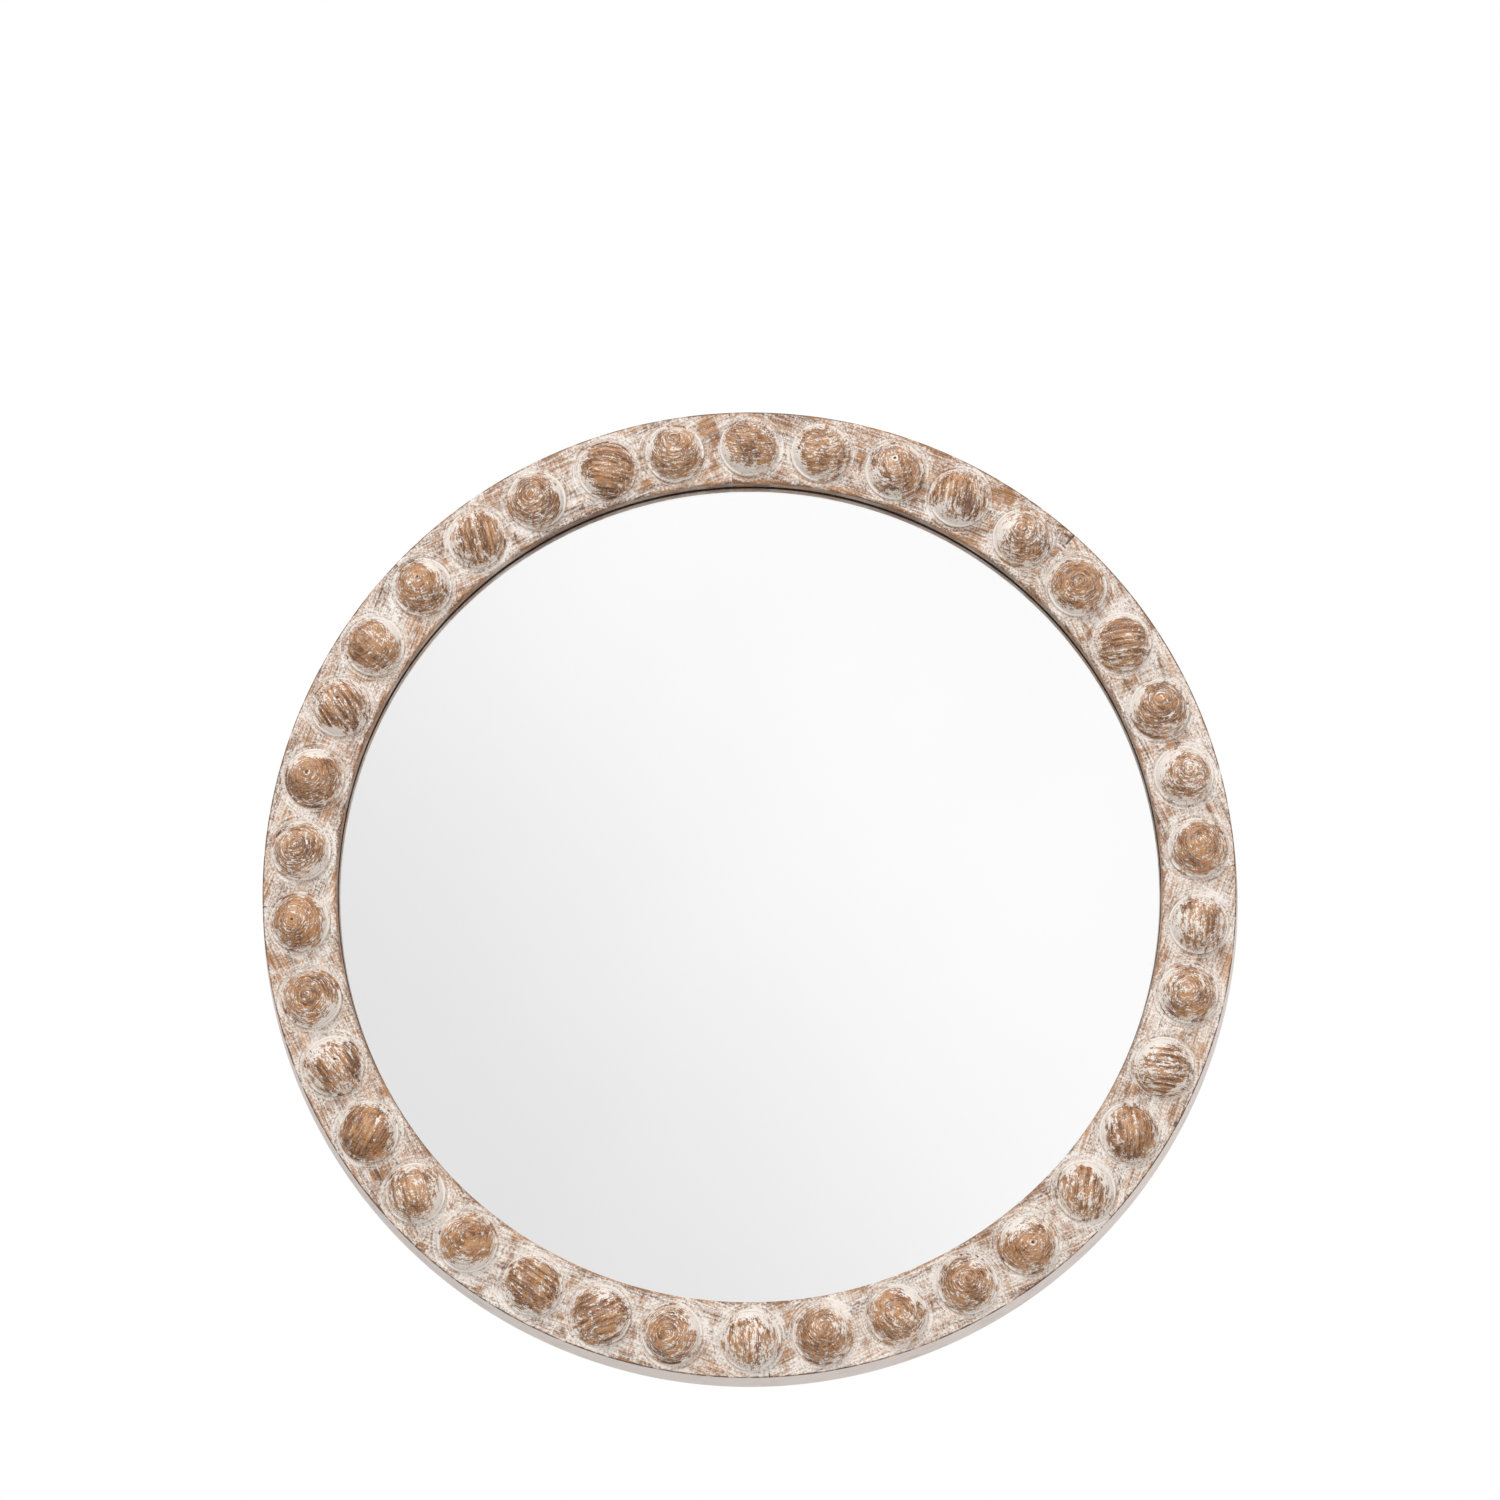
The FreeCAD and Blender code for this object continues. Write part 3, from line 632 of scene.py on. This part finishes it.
def stud_angle(i, sizes):
    """Where a stud stands: an even step from the top and a small offset."""
    return math.pi / 2 - i * STUD_STEP + sizes.stud_wander / sizes.stud_circle * math.sin(i * WANDER_TURN)


def joint_angle(k):
    return math.pi / 2 - JOINT_STUD * STUD_STEP + k * SEGMENT_STEP


def on_circle(circle, angle, depth):
    """A spot on a circle round the mirror's middle."""
    return (circle * math.cos(angle), depth, circle * math.sin(angle))


def run(start, end, step):
    """Evenly spaced points from start up to but without end, about a step apart."""
    start, end = np.array(start), np.array(end)
    count = max(1, round(float(np.linalg.norm(end - start)) / step))
    return [tuple(start + (end - start) * n / count) for n in range(count)]


def ring_section(sizes):
    """Points of radius and depth round the ring's section, each with its paint and whether it is in front."""
    outer, flare, rounding = sizes.outer_radius, sizes.back_radius, sizes.edge_round
    opening, rebate, ledge = sizes.opening_radius, sizes.rebate_radius, sizes.ledge_radius
    front, back = -sizes.ring_front, -sizes.ring_back
    lip, shelf = -sizes.glass_front, -sizes.board_front
    turned_in = opening + 0.0002  # a last row of points just before the lip's corner
    shaded = lip - 0.0012  # where the painted shade, a black line along the glass, ends
    lip_edge_wash, side_wash, back_edge_wash, back_wash = -0.04, 0.62, 0.3, -0.42
    # unlit is painted shade: the rebate, the lip's back and a strip of the opening by the glass are coloured
    # near black
    ledge_wash, shelf_wash, unlit, lip_wash = -0.45, -0.6, -1.4, -0.14
    points = []

    def side(start, end, step, wash, is_front=0.0):
        points.extend((r, y, wash, is_front) for r, y in run(start, end, step))

    def corner(radius, depth, first, wash, is_front):
        for n in range(4):
            angle = math.radians(first + 90 * n / 4)
            r, y = radius + rounding * math.cos(angle), depth + rounding * math.sin(angle)
            points.append((r, y, wash, is_front))

    corner(opening + rounding, front + rounding, 180, lip_edge_wash, 1.0)
    side((opening + rounding, front), (outer - rounding, front), 0.0006, 0.0, 1.0)
    corner(outer - rounding, front + rounding, 270, 0.0, 1.0)
    side((outer, front + rounding), (flare, back - rounding), 0.002, side_wash)
    corner(flare - rounding, back - rounding, 0, back_edge_wash, 0.0)
    side((flare - rounding, back), (ledge, back), 0.004, back_wash)
    side((ledge, back), (ledge, shelf), 0.005, ledge_wash)
    side((ledge, shelf), (rebate, shelf), 0.006, shelf_wash)
    side((rebate, shelf), (rebate, lip), 0.006, unlit)
    side((rebate, lip), (turned_in, lip), 0.004, unlit)
    side((turned_in, lip), (opening, lip), 0.001, unlit)
    side((opening, lip), (opening, shaded), 0.0004, unlit)
    side((opening, shaded), (opening, front + rounding), 0.0012, lip_wash)
    return points


def segment_mesh(k, sizes, rng):
    """One arc of the ring, closed at its joints, with the board's own coordinates for the grain."""
    section = ring_section(sizes)
    start = joint_angle(k)
    columns = 360
    angles = start + SEGMENT_STEP * np.arange(columns + 1) / columns
    radius, depth, wash, front = (np.array(column) for column in zip(*section))
    count = len(section)
    spread = np.repeat(angles, count)
    reach = np.tile(radius, columns + 1)
    points = np.empty((len(spread), 3))
    points[:, 0] = reach * np.cos(spread)
    points[:, 1] = np.tile(depth, columns + 1)
    points[:, 2] = reach * np.sin(spread)
    row = np.arange(count)
    after = (row + 1) % count
    faces = []
    for c in range(columns):
        near, far = c * count, (c + 1) * count
        faces.append(np.stack([near + row, far + row, far + after, near + after], axis=1))
    faces = np.concatenate(faces).tolist()
    faces.append(list(range(count)))
    faces.append([columns * count + n for n in reversed(range(count))])
    mesh = bpy.data.meshes.new(f"segment_{k + 1}")
    mesh.from_pydata(points.tolist(), [], faces)

    middle = start + SEGMENT_STEP / 2
    along = points[:, 0] * -math.sin(middle) + points[:, 2] * math.cos(middle)
    across = points[:, 0] * math.cos(middle) + points[:, 2] * math.sin(middle)
    board = np.stack([along, across, points[:, 1]], axis=1) / MM
    board += np.array([rng.uniform(-GRAIN_SHIFT, GRAIN_SHIFT) for _ in range(3)])
    to_joint = np.minimum(spread - start, start + SEGMENT_STEP - spread) * reach / MM
    fill_attribute(mesh, "board", board, "FLOAT_VECTOR")
    fill_attribute(mesh, "wash", np.tile(wash + BOARD_WASH[k] * front, columns + 1))
    fill_attribute(mesh, "front", np.tile(front, columns + 1))
    fill_attribute(mesh, "joint_distance", to_joint)
    return mesh


def dished_tree(material):
    """Sinks a dish round every stud into a segment's face and wears its edges down."""
    tree, given = new_tree("Dished segment", dict.fromkeys(DISH_SIZES, "Float"))
    place = Wire.add(tree, "GeometryNodeInputPosition") * PER_METRE
    named = {"Name": "front"}
    front = Wire.add(tree, "GeometryNodeInputNamedAttribute", named, "Attribute", data_type="FLOAT")
    x, _, z = place.parts()
    circle = given["stud_circle"]
    steps = (math.pi / 2 - z.maths("ARCTAN2", x)) / STUD_STEP
    between = (steps - steps.maths("ROUND")).maths("ABSOLUTE") * 2.0
    nearest = steps.maths("ROUND").maths("FLOORED_MODULO", float(STUD_TOTAL))
    offset = given["stud_wander"] / circle * (nearest * WANDER_TURN).maths("SINE")
    angle = math.pi / 2 - nearest * STUD_STEP + offset
    from_stud = distance(x - circle * angle.maths("COSINE"), z - circle * angle.maths("SINE"))
    sink = given["dish_depth"] * (1.0 - from_stud.ramp(given["dish_floor_radius"], given["dish_radius"]))

    radius = distance(x, z)
    outer, opening = given["outer_radius"], given["opening_radius"]
    at_edges = radius.ramp(outer - 2.6, outer) + (1.0 - radius.ramp(opening, opening + 2.4))
    dents = (place.noise(0.16, detail=2.0) + 0.5).smooth(0.46, 0.74)
    wear = at_edges * dents * 0.45
    waves = place.noise(0.03, detail=2.0) * 0.5
    chip = distance(x - EDGE_CHIP[0], z - EDGE_CHIP[1]).smooth(2.4, 1.0) * 0.8
    shift = (sink + wear + waves + chip) * front * MM
    moved = {"Geometry": given["Geometry"], "Offset": shift.more("ShaderNodeCombineXYZ", {"Y": shift})}
    geometry = shift.more("GeometryNodeSetPosition", moved)
    geometry = store(geometry, "stud_distance", from_stud)
    geometry = store(geometry, "between", between)
    end_tree(tree, geometry, material)
    return tree


def dome_sphere(sizes):
    """Radius of the ball that a stud's dome is cut from."""
    return (sizes.dome_radius**2 + sizes.dome_height**2) / (2 * sizes.dome_height)


def stud_outline(sizes):
    """Radius and height from the top of a stud's dome over its crease and rim to its seat."""
    foot, cap, rim_height = sizes.dome_radius, sizes.dome_height, sizes.rim_height
    sphere = dome_sphere(sizes)
    widest = math.acos((sphere - cap) / sphere)
    rows = 44
    middle = rim_height + cap - sphere
    outline = []
    for n in range(rows + 1):
        angle = widest * n / rows
        outline.append((sphere * math.sin(angle), middle + sphere * math.cos(angle)))
    bead, crease = sizes.rim_radius - foot, sizes.crease_depth
    outline += [(foot + bead * share, rim_height - crease) for share in (0.10, 0.20)]
    for n in range(7):
        angle = math.radians(165 - 150 * n / 6)
        share = 0.54 + 0.30 * math.cos(angle)
        outline.append((foot + bead * share, rim_height - crease * (1 - math.sin(angle))))
    rounded = ((0.93, 0.0022), (0.99, 0.0016), (1.0, 0.0008), (1.0, 0.0))
    outline += [(foot + bead * share, height) for share, height in rounded]
    outline.append((0.0, 0.0))
    return outline


def stud_tree(material):
    """Leaves the lathe's rings and small dents on a stud, about a pole of its own."""
    numbers = ["Dome radius", "Sphere centre", "Pole tilt", "Pole heading", "Grain heading", "Pale heading"]
    numbers += ["Seed", "Groove depth", "Wash", "Ringed", "Mark"]
    tree, given = new_tree("Turned stud", {name: "Float" for name in numbers})
    local = Wire.add(tree, "GeometryNodeInputPosition") * PER_METRE
    normal = Wire.add(tree, "GeometryNodeInputNormal", output="Normal")
    x, y, _ = local.parts()
    from_axis = distance(x, y)
    ball = local - local.more("ShaderNodeCombineXYZ", {"Z": given["Sphere centre"]})
    heading, seed, dome_radius = given["Pole heading"], given["Seed"], given["Dome radius"]
    level = {"X": heading.maths("SINE"), "Y": heading.maths("COSINE") * -1.0}
    axis = ball.more("ShaderNodeCombineXYZ", level)
    turn = {"Vector": ball, "Axis": axis, "Angle": given["Pole tilt"]}
    lathe = ball.more("ShaderNodeVectorRotate", turn, rotation_type="AXIS_ANGLE")
    along_x, along_y, along_z = ball.turned(given["Grain heading"] * -1.0).parts()
    grain = ball.more("ShaderNodeCombineXYZ", {"X": along_y, "Y": along_z, "Z": along_x})
    pale = given["Pale heading"]
    pale_side = (x * pale.maths("COSINE") + y * pale.maths("SINE")) / dome_radius

    _, _, along = lathe.parts()
    along_pole = along.more("ShaderNodeCombineXYZ", {"Z": along})
    rings = along_pole.noise((1.0, 1.0, 0.85), detail=2.0, seed=seed) * given["Groove depth"] * 2.4
    dents = ball.noise(0.08, detail=1.0, seed=seed) * 1.1
    dome = 1.0 - from_axis.ramp(dome_radius - 0.6, dome_radius)
    shift = (dents + rings) * dome * MM
    moved = {"Geometry": given["Geometry"], "Offset": normal * shift}
    geometry = shift.more("GeometryNodeSetPosition", moved)
    geometry = store(geometry, "lathe", lathe, "FLOAT_VECTOR")
    geometry = store(geometry, "grain", grain, "FLOAT_VECTOR")
    kept = {"from_axis": from_axis, "pale_side": pale_side, "wash": given["Wash"], "stud_seed": seed}
    kept.update(ringed=given["Ringed"], mark=given["Mark"])
    for name, value in kept.items():
        geometry = store(geometry, name, value)
    end_tree(tree, geometry, material)
    return tree


def scatter_tree(name, material):
    """Sets copies of a piece on points, each spun about Y by chance."""
    tree, given = new_tree(name, {"Piece": "Object", "Seed": "Int"})
    piece = Wire.add(tree, "GeometryNodeObjectInfo", {"Object": given["Piece"]}, "Geometry")
    spin = {"Min": (0.0, 0.0, 0.0), "Max": (0.0, 2 * math.pi, 0.0), "Seed": given["Seed"]}
    turn = Wire.add(tree, "FunctionNodeRandomValue", spin, data_type="FLOAT_VECTOR")
    turn = turn.more("FunctionNodeEulerToRotation", {"Euler": turn})
    placed = {"Points": given["Geometry"], "Instance": piece, "Rotation": turn}
    end_tree(tree, turn.more("GeometryNodeInstanceOnPoints", placed), material)
    return tree


def scattered(name, template, spots, material, seed):
    """Copies of a template mesh on spots, as one mesh."""
    points = bpy.data.meshes.new(f"{name}_spots")
    points.from_pydata(spots, [], [])
    pattern = bpy.data.objects.new(f"{name}_pattern", template)
    bpy.context.scene.collection.objects.link(pattern)
    made = grown_mesh(points, scatter_tree(name, material), {"Piece": pattern, "Seed": seed})
    bpy.data.objects.remove(pattern)
    return made


def screw_mesh(shank, head, height, total):
    """A pan-head screw that points into the room, with a cross recess, and its head's underside at 0."""
    shares = (0.12, 0.2, 0.28, 0.36, 0.44, 0.52, 0.6, 0.7, 0.8)
    outline = [(0.0, height)]
    outline += [(head * s, height * (1 - 0.10 * s**4)) for s in shares]
    outline += [(head * 0.92, height * 0.78), (head * 0.98, height * 0.55), (head, height * 0.3), (head, 0.0)]
    outline += [(shank, 0.0)]
    turns, plain, point = 8, 0.001, 0.004
    threaded = total - point
    for n in range(turns):
        depth = -plain - (threaded - plain) * n / turns
        outline += [(shank, depth), (shank * 0.82, depth - (threaded - plain) / turns * 0.5)]
    outline += [(shank * 0.8, -threaded), (0.0, -total)]
    mesh = spun_mesh("screw", outline, 32)
    recess, half_arm, arm = 0.0007, head * 0.14, head * 0.56
    for vertex in mesh.vertices:
        x, y, z = vertex.co
        near, far = sorted((abs(x), abs(y)))
        if z > height * 0.5 and near < half_arm and far < arm:
            vertex.co.z -= recess * (1 - far / (head * 0.62))
    mesh.transform(TO_WALL)
    return mesh


class MirrorOperator:
    """What the mirror's operators share."""

    bl_options = {"REGISTER", "UNDO"}

    def execute(self, context):
        scene = context.scene
        self.build(scene.round_mirror_sizes, scene.round_mirror_colours)
        return {"FINISHED"}


class MIRROR_OT_ring(MirrorOperator, bpy.types.Operator):
    """Builds the eight limewashed arcs of the wooden ring"""

    bl_idname = "round_mirror.ring"
    bl_label = "Wooden ring"

    def build(self, sizes, colours):
        rng = random.Random(11)
        tree = dished_tree(limewashed_ring(sizes, colours))
        values = {name: getattr(sizes, name) / MM for name in DISH_SIZES}
        values["dish_depth"] -= sizes.dish_filler / MM
        for k in range(SEGMENT_TOTAL):
            mesh = grown_mesh(segment_mesh(k, sizes, rng), tree, values)
            name = f"limewashed_segment_{k + 1}"
            add_piece(name, mesh, [f"frame_segment_{k + 1}"], sharp=50.0)
        dress_node("joint_dowels", dowel_beech(colours))


class MIRROR_OT_studs(MirrorOperator, bpy.types.Operator):
    """Turns the studs, each with a pole, a grain and a wash of its own"""

    bl_idname = "round_mirror.studs"
    bl_label = "Turned studs"

    def build(self, sizes, colours):
        rng = random.Random(38)
        tree = stud_tree(limewashed_stud(sizes, colours))
        outline = stud_outline(sizes)
        middle = sizes.rim_height + sizes.dome_height - dome_sphere(sizes)
        seat = -(sizes.ring_front - sizes.dish_depth)
        for i, (ringed, turn, tilt, pale, wash, mark) in enumerate(STUD_LOOKS):
            heading = math.radians(turn)
            values = {
                "Dome radius": sizes.dome_radius / MM,
                "Sphere centre": middle / MM,
                "Pole tilt": math.radians(tilt),
                "Pole heading": heading if ringed > 0.5 else math.radians(rng.uniform(60, 120)),
                "Grain heading": heading if ringed < 0.5 else math.radians(rng.uniform(0, 180)),
                "Pale heading": math.radians(pale),
                "Seed": rng.uniform(0, 40),
                "Groove depth": sizes.groove_depth / MM * rng.uniform(0.4, 1.2),
                "Wash": wash,
                "Ringed": ringed,
                "Mark": mark,
            }
            mesh = grown_mesh(spun_mesh("stud", outline, 96), tree, values)
            spot = on_circle(sizes.stud_circle, stud_angle(i, sizes), seat)
            mesh.transform(Matrix.Translation(spot) @ TO_ROOM)
            add_piece(f"turned_stud_{i + 1:02d}", mesh, [f"stud_{i + 1:02d}"], sharp=60.0)


class MIRROR_OT_glass(MirrorOperator, bpy.types.Operator):
    """Builds the silvered pane"""

    bl_idname = "round_mirror.glass"
    bl_label = "Silvered pane"

    def build(self, sizes, colours):
        low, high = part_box("mirror_glass")
        radius = (high[0] - low[0]) / 2
        gap = 0.0001
        thick = sizes.glass_front - sizes.glass_back - gap
        arris = 0.0004
        outline = [(0.0, thick), (radius * 0.5, thick), (radius - arris, thick), (radius, thick - arris)]
        outline += [(radius, arris), (radius - arris, 0.0), (radius * 0.5, 0.0), (0.0, 0.0)]
        mesh = spun_mesh("pane", outline, 180)
        mesh.transform(Matrix.Translation((0.0, -sizes.glass_back - gap, 0.0)) @ TO_ROOM)
        mesh.materials.append(clear_pane(colours))
        mesh.materials.append(silvering(colours))
        for face in mesh.polygons:
            face.material_index = int(face.normal.y > 0.9)
        add_piece("silvered_pane", mesh, ["mirror_glass"], sharp=30.0)


class MIRROR_OT_back(MirrorOperator, bpy.types.Operator):
    """Dresses the packing sheet and the back board and drives the board's screws"""

    bl_idname = "round_mirror.back"
    bl_label = "Back board"

    def build(self, sizes, colours):
        dress_node("packing_sheet", packing_felt(colours))
        dress_node("back_board", fibreboard(colours))
        zinc = plated_metal("zinc_plate", colours.zinc, roughness=0.34, scratches=0.02)
        circle = (sizes.rebate_radius + sizes.ledge_radius) / 2
        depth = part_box("back_board")[1][1]
        step = 2 * math.pi / BOARD_SCREW_TOTAL
        spots = [on_circle(circle, (n + 0.5) * step, depth) for n in range(BOARD_SCREW_TOTAL)]
        screw = screw_mesh(shank=0.0015, head=0.003, height=0.0018, total=0.016)
        mesh = scattered("board_screw_set", screw, spots, zinc, seed=3)
        add_piece("board_screw_set", mesh, ["board_screws"], sharp=35.0)


class MIRROR_OT_hangers(MirrorOperator, bpy.types.Operator):
    """Dresses the hanging straps and rings and drives the straps' screws"""

    bl_idname = "round_mirror.hangers"
    bl_label = "Hangers"

    def build(self, sizes, colours):
        zinc = plated_metal("strap_zinc", colours.zinc, roughness=0.36, scratches=0.03)
        nickel = plated_metal("nickel_plate", colours.nickel, roughness=0.2, scratches=0.01)
        circle = (sizes.ledge_radius + sizes.back_radius) / 2
        depth = -sizes.ring_back + STRAP_LEAVES
        spots = []
        for word, side in (("right", 1), ("left", -1)):
            dress_node(f"hanger_strap_{word}", zinc)
            dress_node(f"hanger_ring_{word}", nickel)
            angle = HANGER_ANGLE * side
            for along in STRAP_HOLES:
                x = side * circle * math.cos(angle) - along * math.sin(angle)
                z = side * circle * math.sin(angle) + along * math.cos(angle)
                spots.append((x, depth, z))
        screw = screw_mesh(shank=0.00175, head=0.00325, height=0.002, total=0.016)
        mesh = scattered("hanger_screw_set", screw, spots, zinc, seed=8)
        add_piece("hanger_screw_set", mesh, ["hanger_screws"], sharp=35.0)


class MIRROR_OT_bumpers(MirrorOperator, bpy.types.Operator):
    """Builds the rubber bumpers"""

    bl_idname = "round_mirror.bumpers"
    bl_label = "Bumpers"

    def build(self, sizes, colours):
        circle = (sizes.ledge_radius + sizes.back_radius) / 2
        top = sizes.ring_back / MM
        outline = [(0.0, top - 0.7), (1.8, top - 0.7), (2.4, top - 0.2), (3.0, top), (6.2, top)]
        outline += [(6.7, top - 0.2), (7.0, top - 0.8), (7.6, 1.2), (8.0, 0.6), (8.0, 0.0), (0.0, 0.0)]
        template = spun_mesh("bumper", [(radius * MM, height * MM) for radius, height in outline], 48)
        template.transform(TO_WALL)
        spots = [on_circle(circle, math.radians(turn), -sizes.ring_back) for turn in BUMPER_ANGLES]
        mesh = scattered("bumper_set", template, spots, bumper_rubber(colours), seed=5)
        add_piece("bumper_set", mesh, ["wall_bumpers"], sharp=35.0)


class MIRROR_OT_stage(MirrorOperator, bpy.types.Operator):
    """Sets up the pale floor, the soft light and the camera"""

    bl_idname = "round_mirror.stage"
    bl_label = "Stage"

    def build(self, sizes, colours):
        scene = bpy.context.scene
        scene.view_settings.view_transform = "Standard"
        self.light_room(scene)
        self.lay_floor(scene)
        self.set_camera(scene, sizes)

    def light_room(self, scene):
        """A pale room: white where it is seen, a soft grey gradient in the glass, and an even fill."""
        world = bpy.data.worlds.new("pale_room")
        scene.world = world
        world.use_nodes = True
        tree = world.node_tree
        tree.nodes.clear()
        is_seen = Wire.add(tree, "ShaderNodeLightPath", output="Is Camera Ray")
        rays = is_seen.socket.node.outputs
        mirrored = Wire(rays["Is Glossy Ray"]).maths("MAXIMUM", Wire(rays["Is Transmission Ray"]))
        across, _, up = Wire.add(tree, "ShaderNodeTexCoord", output="Generated").parts()
        in_glass = (up + across * 1.3).smooth(-0.05, 0.20).mix(linear("E5E5E5"), linear("FDFDFD"))
        fill = up.smooth(-0.7, 0.5).mix(linear("BDBDBF"), linear("DFDFDE"))
        room = is_seen.mix(mirrored.mix(fill, in_glass), (1.0, 1.0, 1.0))
        background = Wire.add(tree, "ShaderNodeBackground", {"Color": room, "Strength": 1.0})
        output = tree.nodes.new("ShaderNodeOutputWorld")
        tree.links.new(background.socket, output.inputs["Surface"])
        for name, (spot, width, power) in LAMPS.items():
            self.add_lamp(scene, name, spot, width, power)

    def add_lamp(self, scene, name, spot, width, power):
        """A round lamp that faces the middle of the mirror."""
        lamp = bpy.data.lights.new(name, "AREA")
        lamp.shape = "DISK"
        lamp.size = width
        lamp.energy = power
        item = bpy.data.objects.new(name, lamp)
        item.location = spot
        item.rotation_euler = (-Vector(spot)).to_track_quat("-Z", "Y").to_euler()
        scene.collection.objects.link(item)

    def lay_floor(self, scene):
        """A pale floor below the picture, which fades into white."""
        mesh = bpy.data.meshes.new("floor")
        signs = ((-1, -1), (1, -1), (1, 1), (-1, 1))
        corners = [(FLOOR_HALF * across, FLOOR_HALF * along, FLOOR_LEVEL) for across, along in signs]
        mesh.from_pydata(corners, [], [(0, 1, 2, 3)])
        material, place = new_material("floor_pale")
        x, y, _ = place.parts()
        near = distance(x, y).smooth(*FLOOR_FADE)
        tone = (0.5 + place.noise(0.01, detail=3.0)).smooth(0.0, 1.0)
        pale = tone.mix(linear("D3D3D2"), linear("DADAD9"))
        inputs = {"Base Color": pale, "Roughness": 0.8, "Alpha": near}
        mesh.materials.append(finished(material, inputs))
        floor = bpy.data.objects.new("floor", mesh)
        scene.collection.objects.link(floor)

    def set_camera(self, scene, sizes):
        """A long lens below the mirror, which looks up at it and puts it low in the picture."""
        data = bpy.data.cameras.new("camera")
        data.lens = CAMERA_LENS
        data.sensor_width = 36.0
        data.clip_end = 60.0
        camera = bpy.data.objects.new("camera", data)
        camera.location = CAMERA_SPOT - Vector((0.0, sizes.ring_front, 0.0))
        level = math.cos(CAMERA_RISE)
        view = Vector((math.sin(CAMERA_ASIDE) * level, math.cos(CAMERA_ASIDE) * level, math.sin(CAMERA_RISE)))
        camera.rotation_euler = view.to_track_quat("-Z", "Y").to_euler()
        scene.collection.objects.link(camera)
        scene.camera = camera


OPERATORS = (
    MIRROR_OT_ring,
    MIRROR_OT_studs,
    MIRROR_OT_glass,
    MIRROR_OT_back,
    MIRROR_OT_hangers,
    MIRROR_OT_bumpers,
    MIRROR_OT_stage,
)


class MIRROR_PT_panel(bpy.types.Panel):
    """Lists the mirror's pieces, sizes and colours"""

    bl_idname = "MIRROR_PT_panel"
    bl_label = "Round mirror"
    bl_space_type = "VIEW_3D"
    bl_region_type = "UI"
    bl_category = "Mirror"

    def draw(self, context):
        for group in (context.scene.round_mirror_sizes, context.scene.round_mirror_colours):
            for name in group.__annotations__:
                self.layout.prop(group, name)
        for operator in OPERATORS:
            self.layout.operator(operator.bl_idname)


CLASSES = (MirrorSizes, MirrorColours, *OPERATORS, MIRROR_PT_panel)


def register():
    for item in CLASSES:
        bpy.utils.register_class(item)
    bpy.types.Scene.round_mirror_sizes = bpy.props.PointerProperty(type=MirrorSizes)
    bpy.types.Scene.round_mirror_colours = bpy.props.PointerProperty(type=MirrorColours)


def unregister():
    del bpy.types.Scene.round_mirror_colours
    del bpy.types.Scene.round_mirror_sizes
    for item in reversed(CLASSES):
        bpy.utils.unregister_class(item)


def main():
    register()
    bpy.ops.round_mirror.ring()
    bpy.ops.round_mirror.studs()
    bpy.ops.round_mirror.glass()
    bpy.ops.round_mirror.back()
    bpy.ops.round_mirror.hangers()
    bpy.ops.round_mirror.bumpers()
    bpy.ops.round_mirror.stage()


if __name__ == "__main__":
    main()
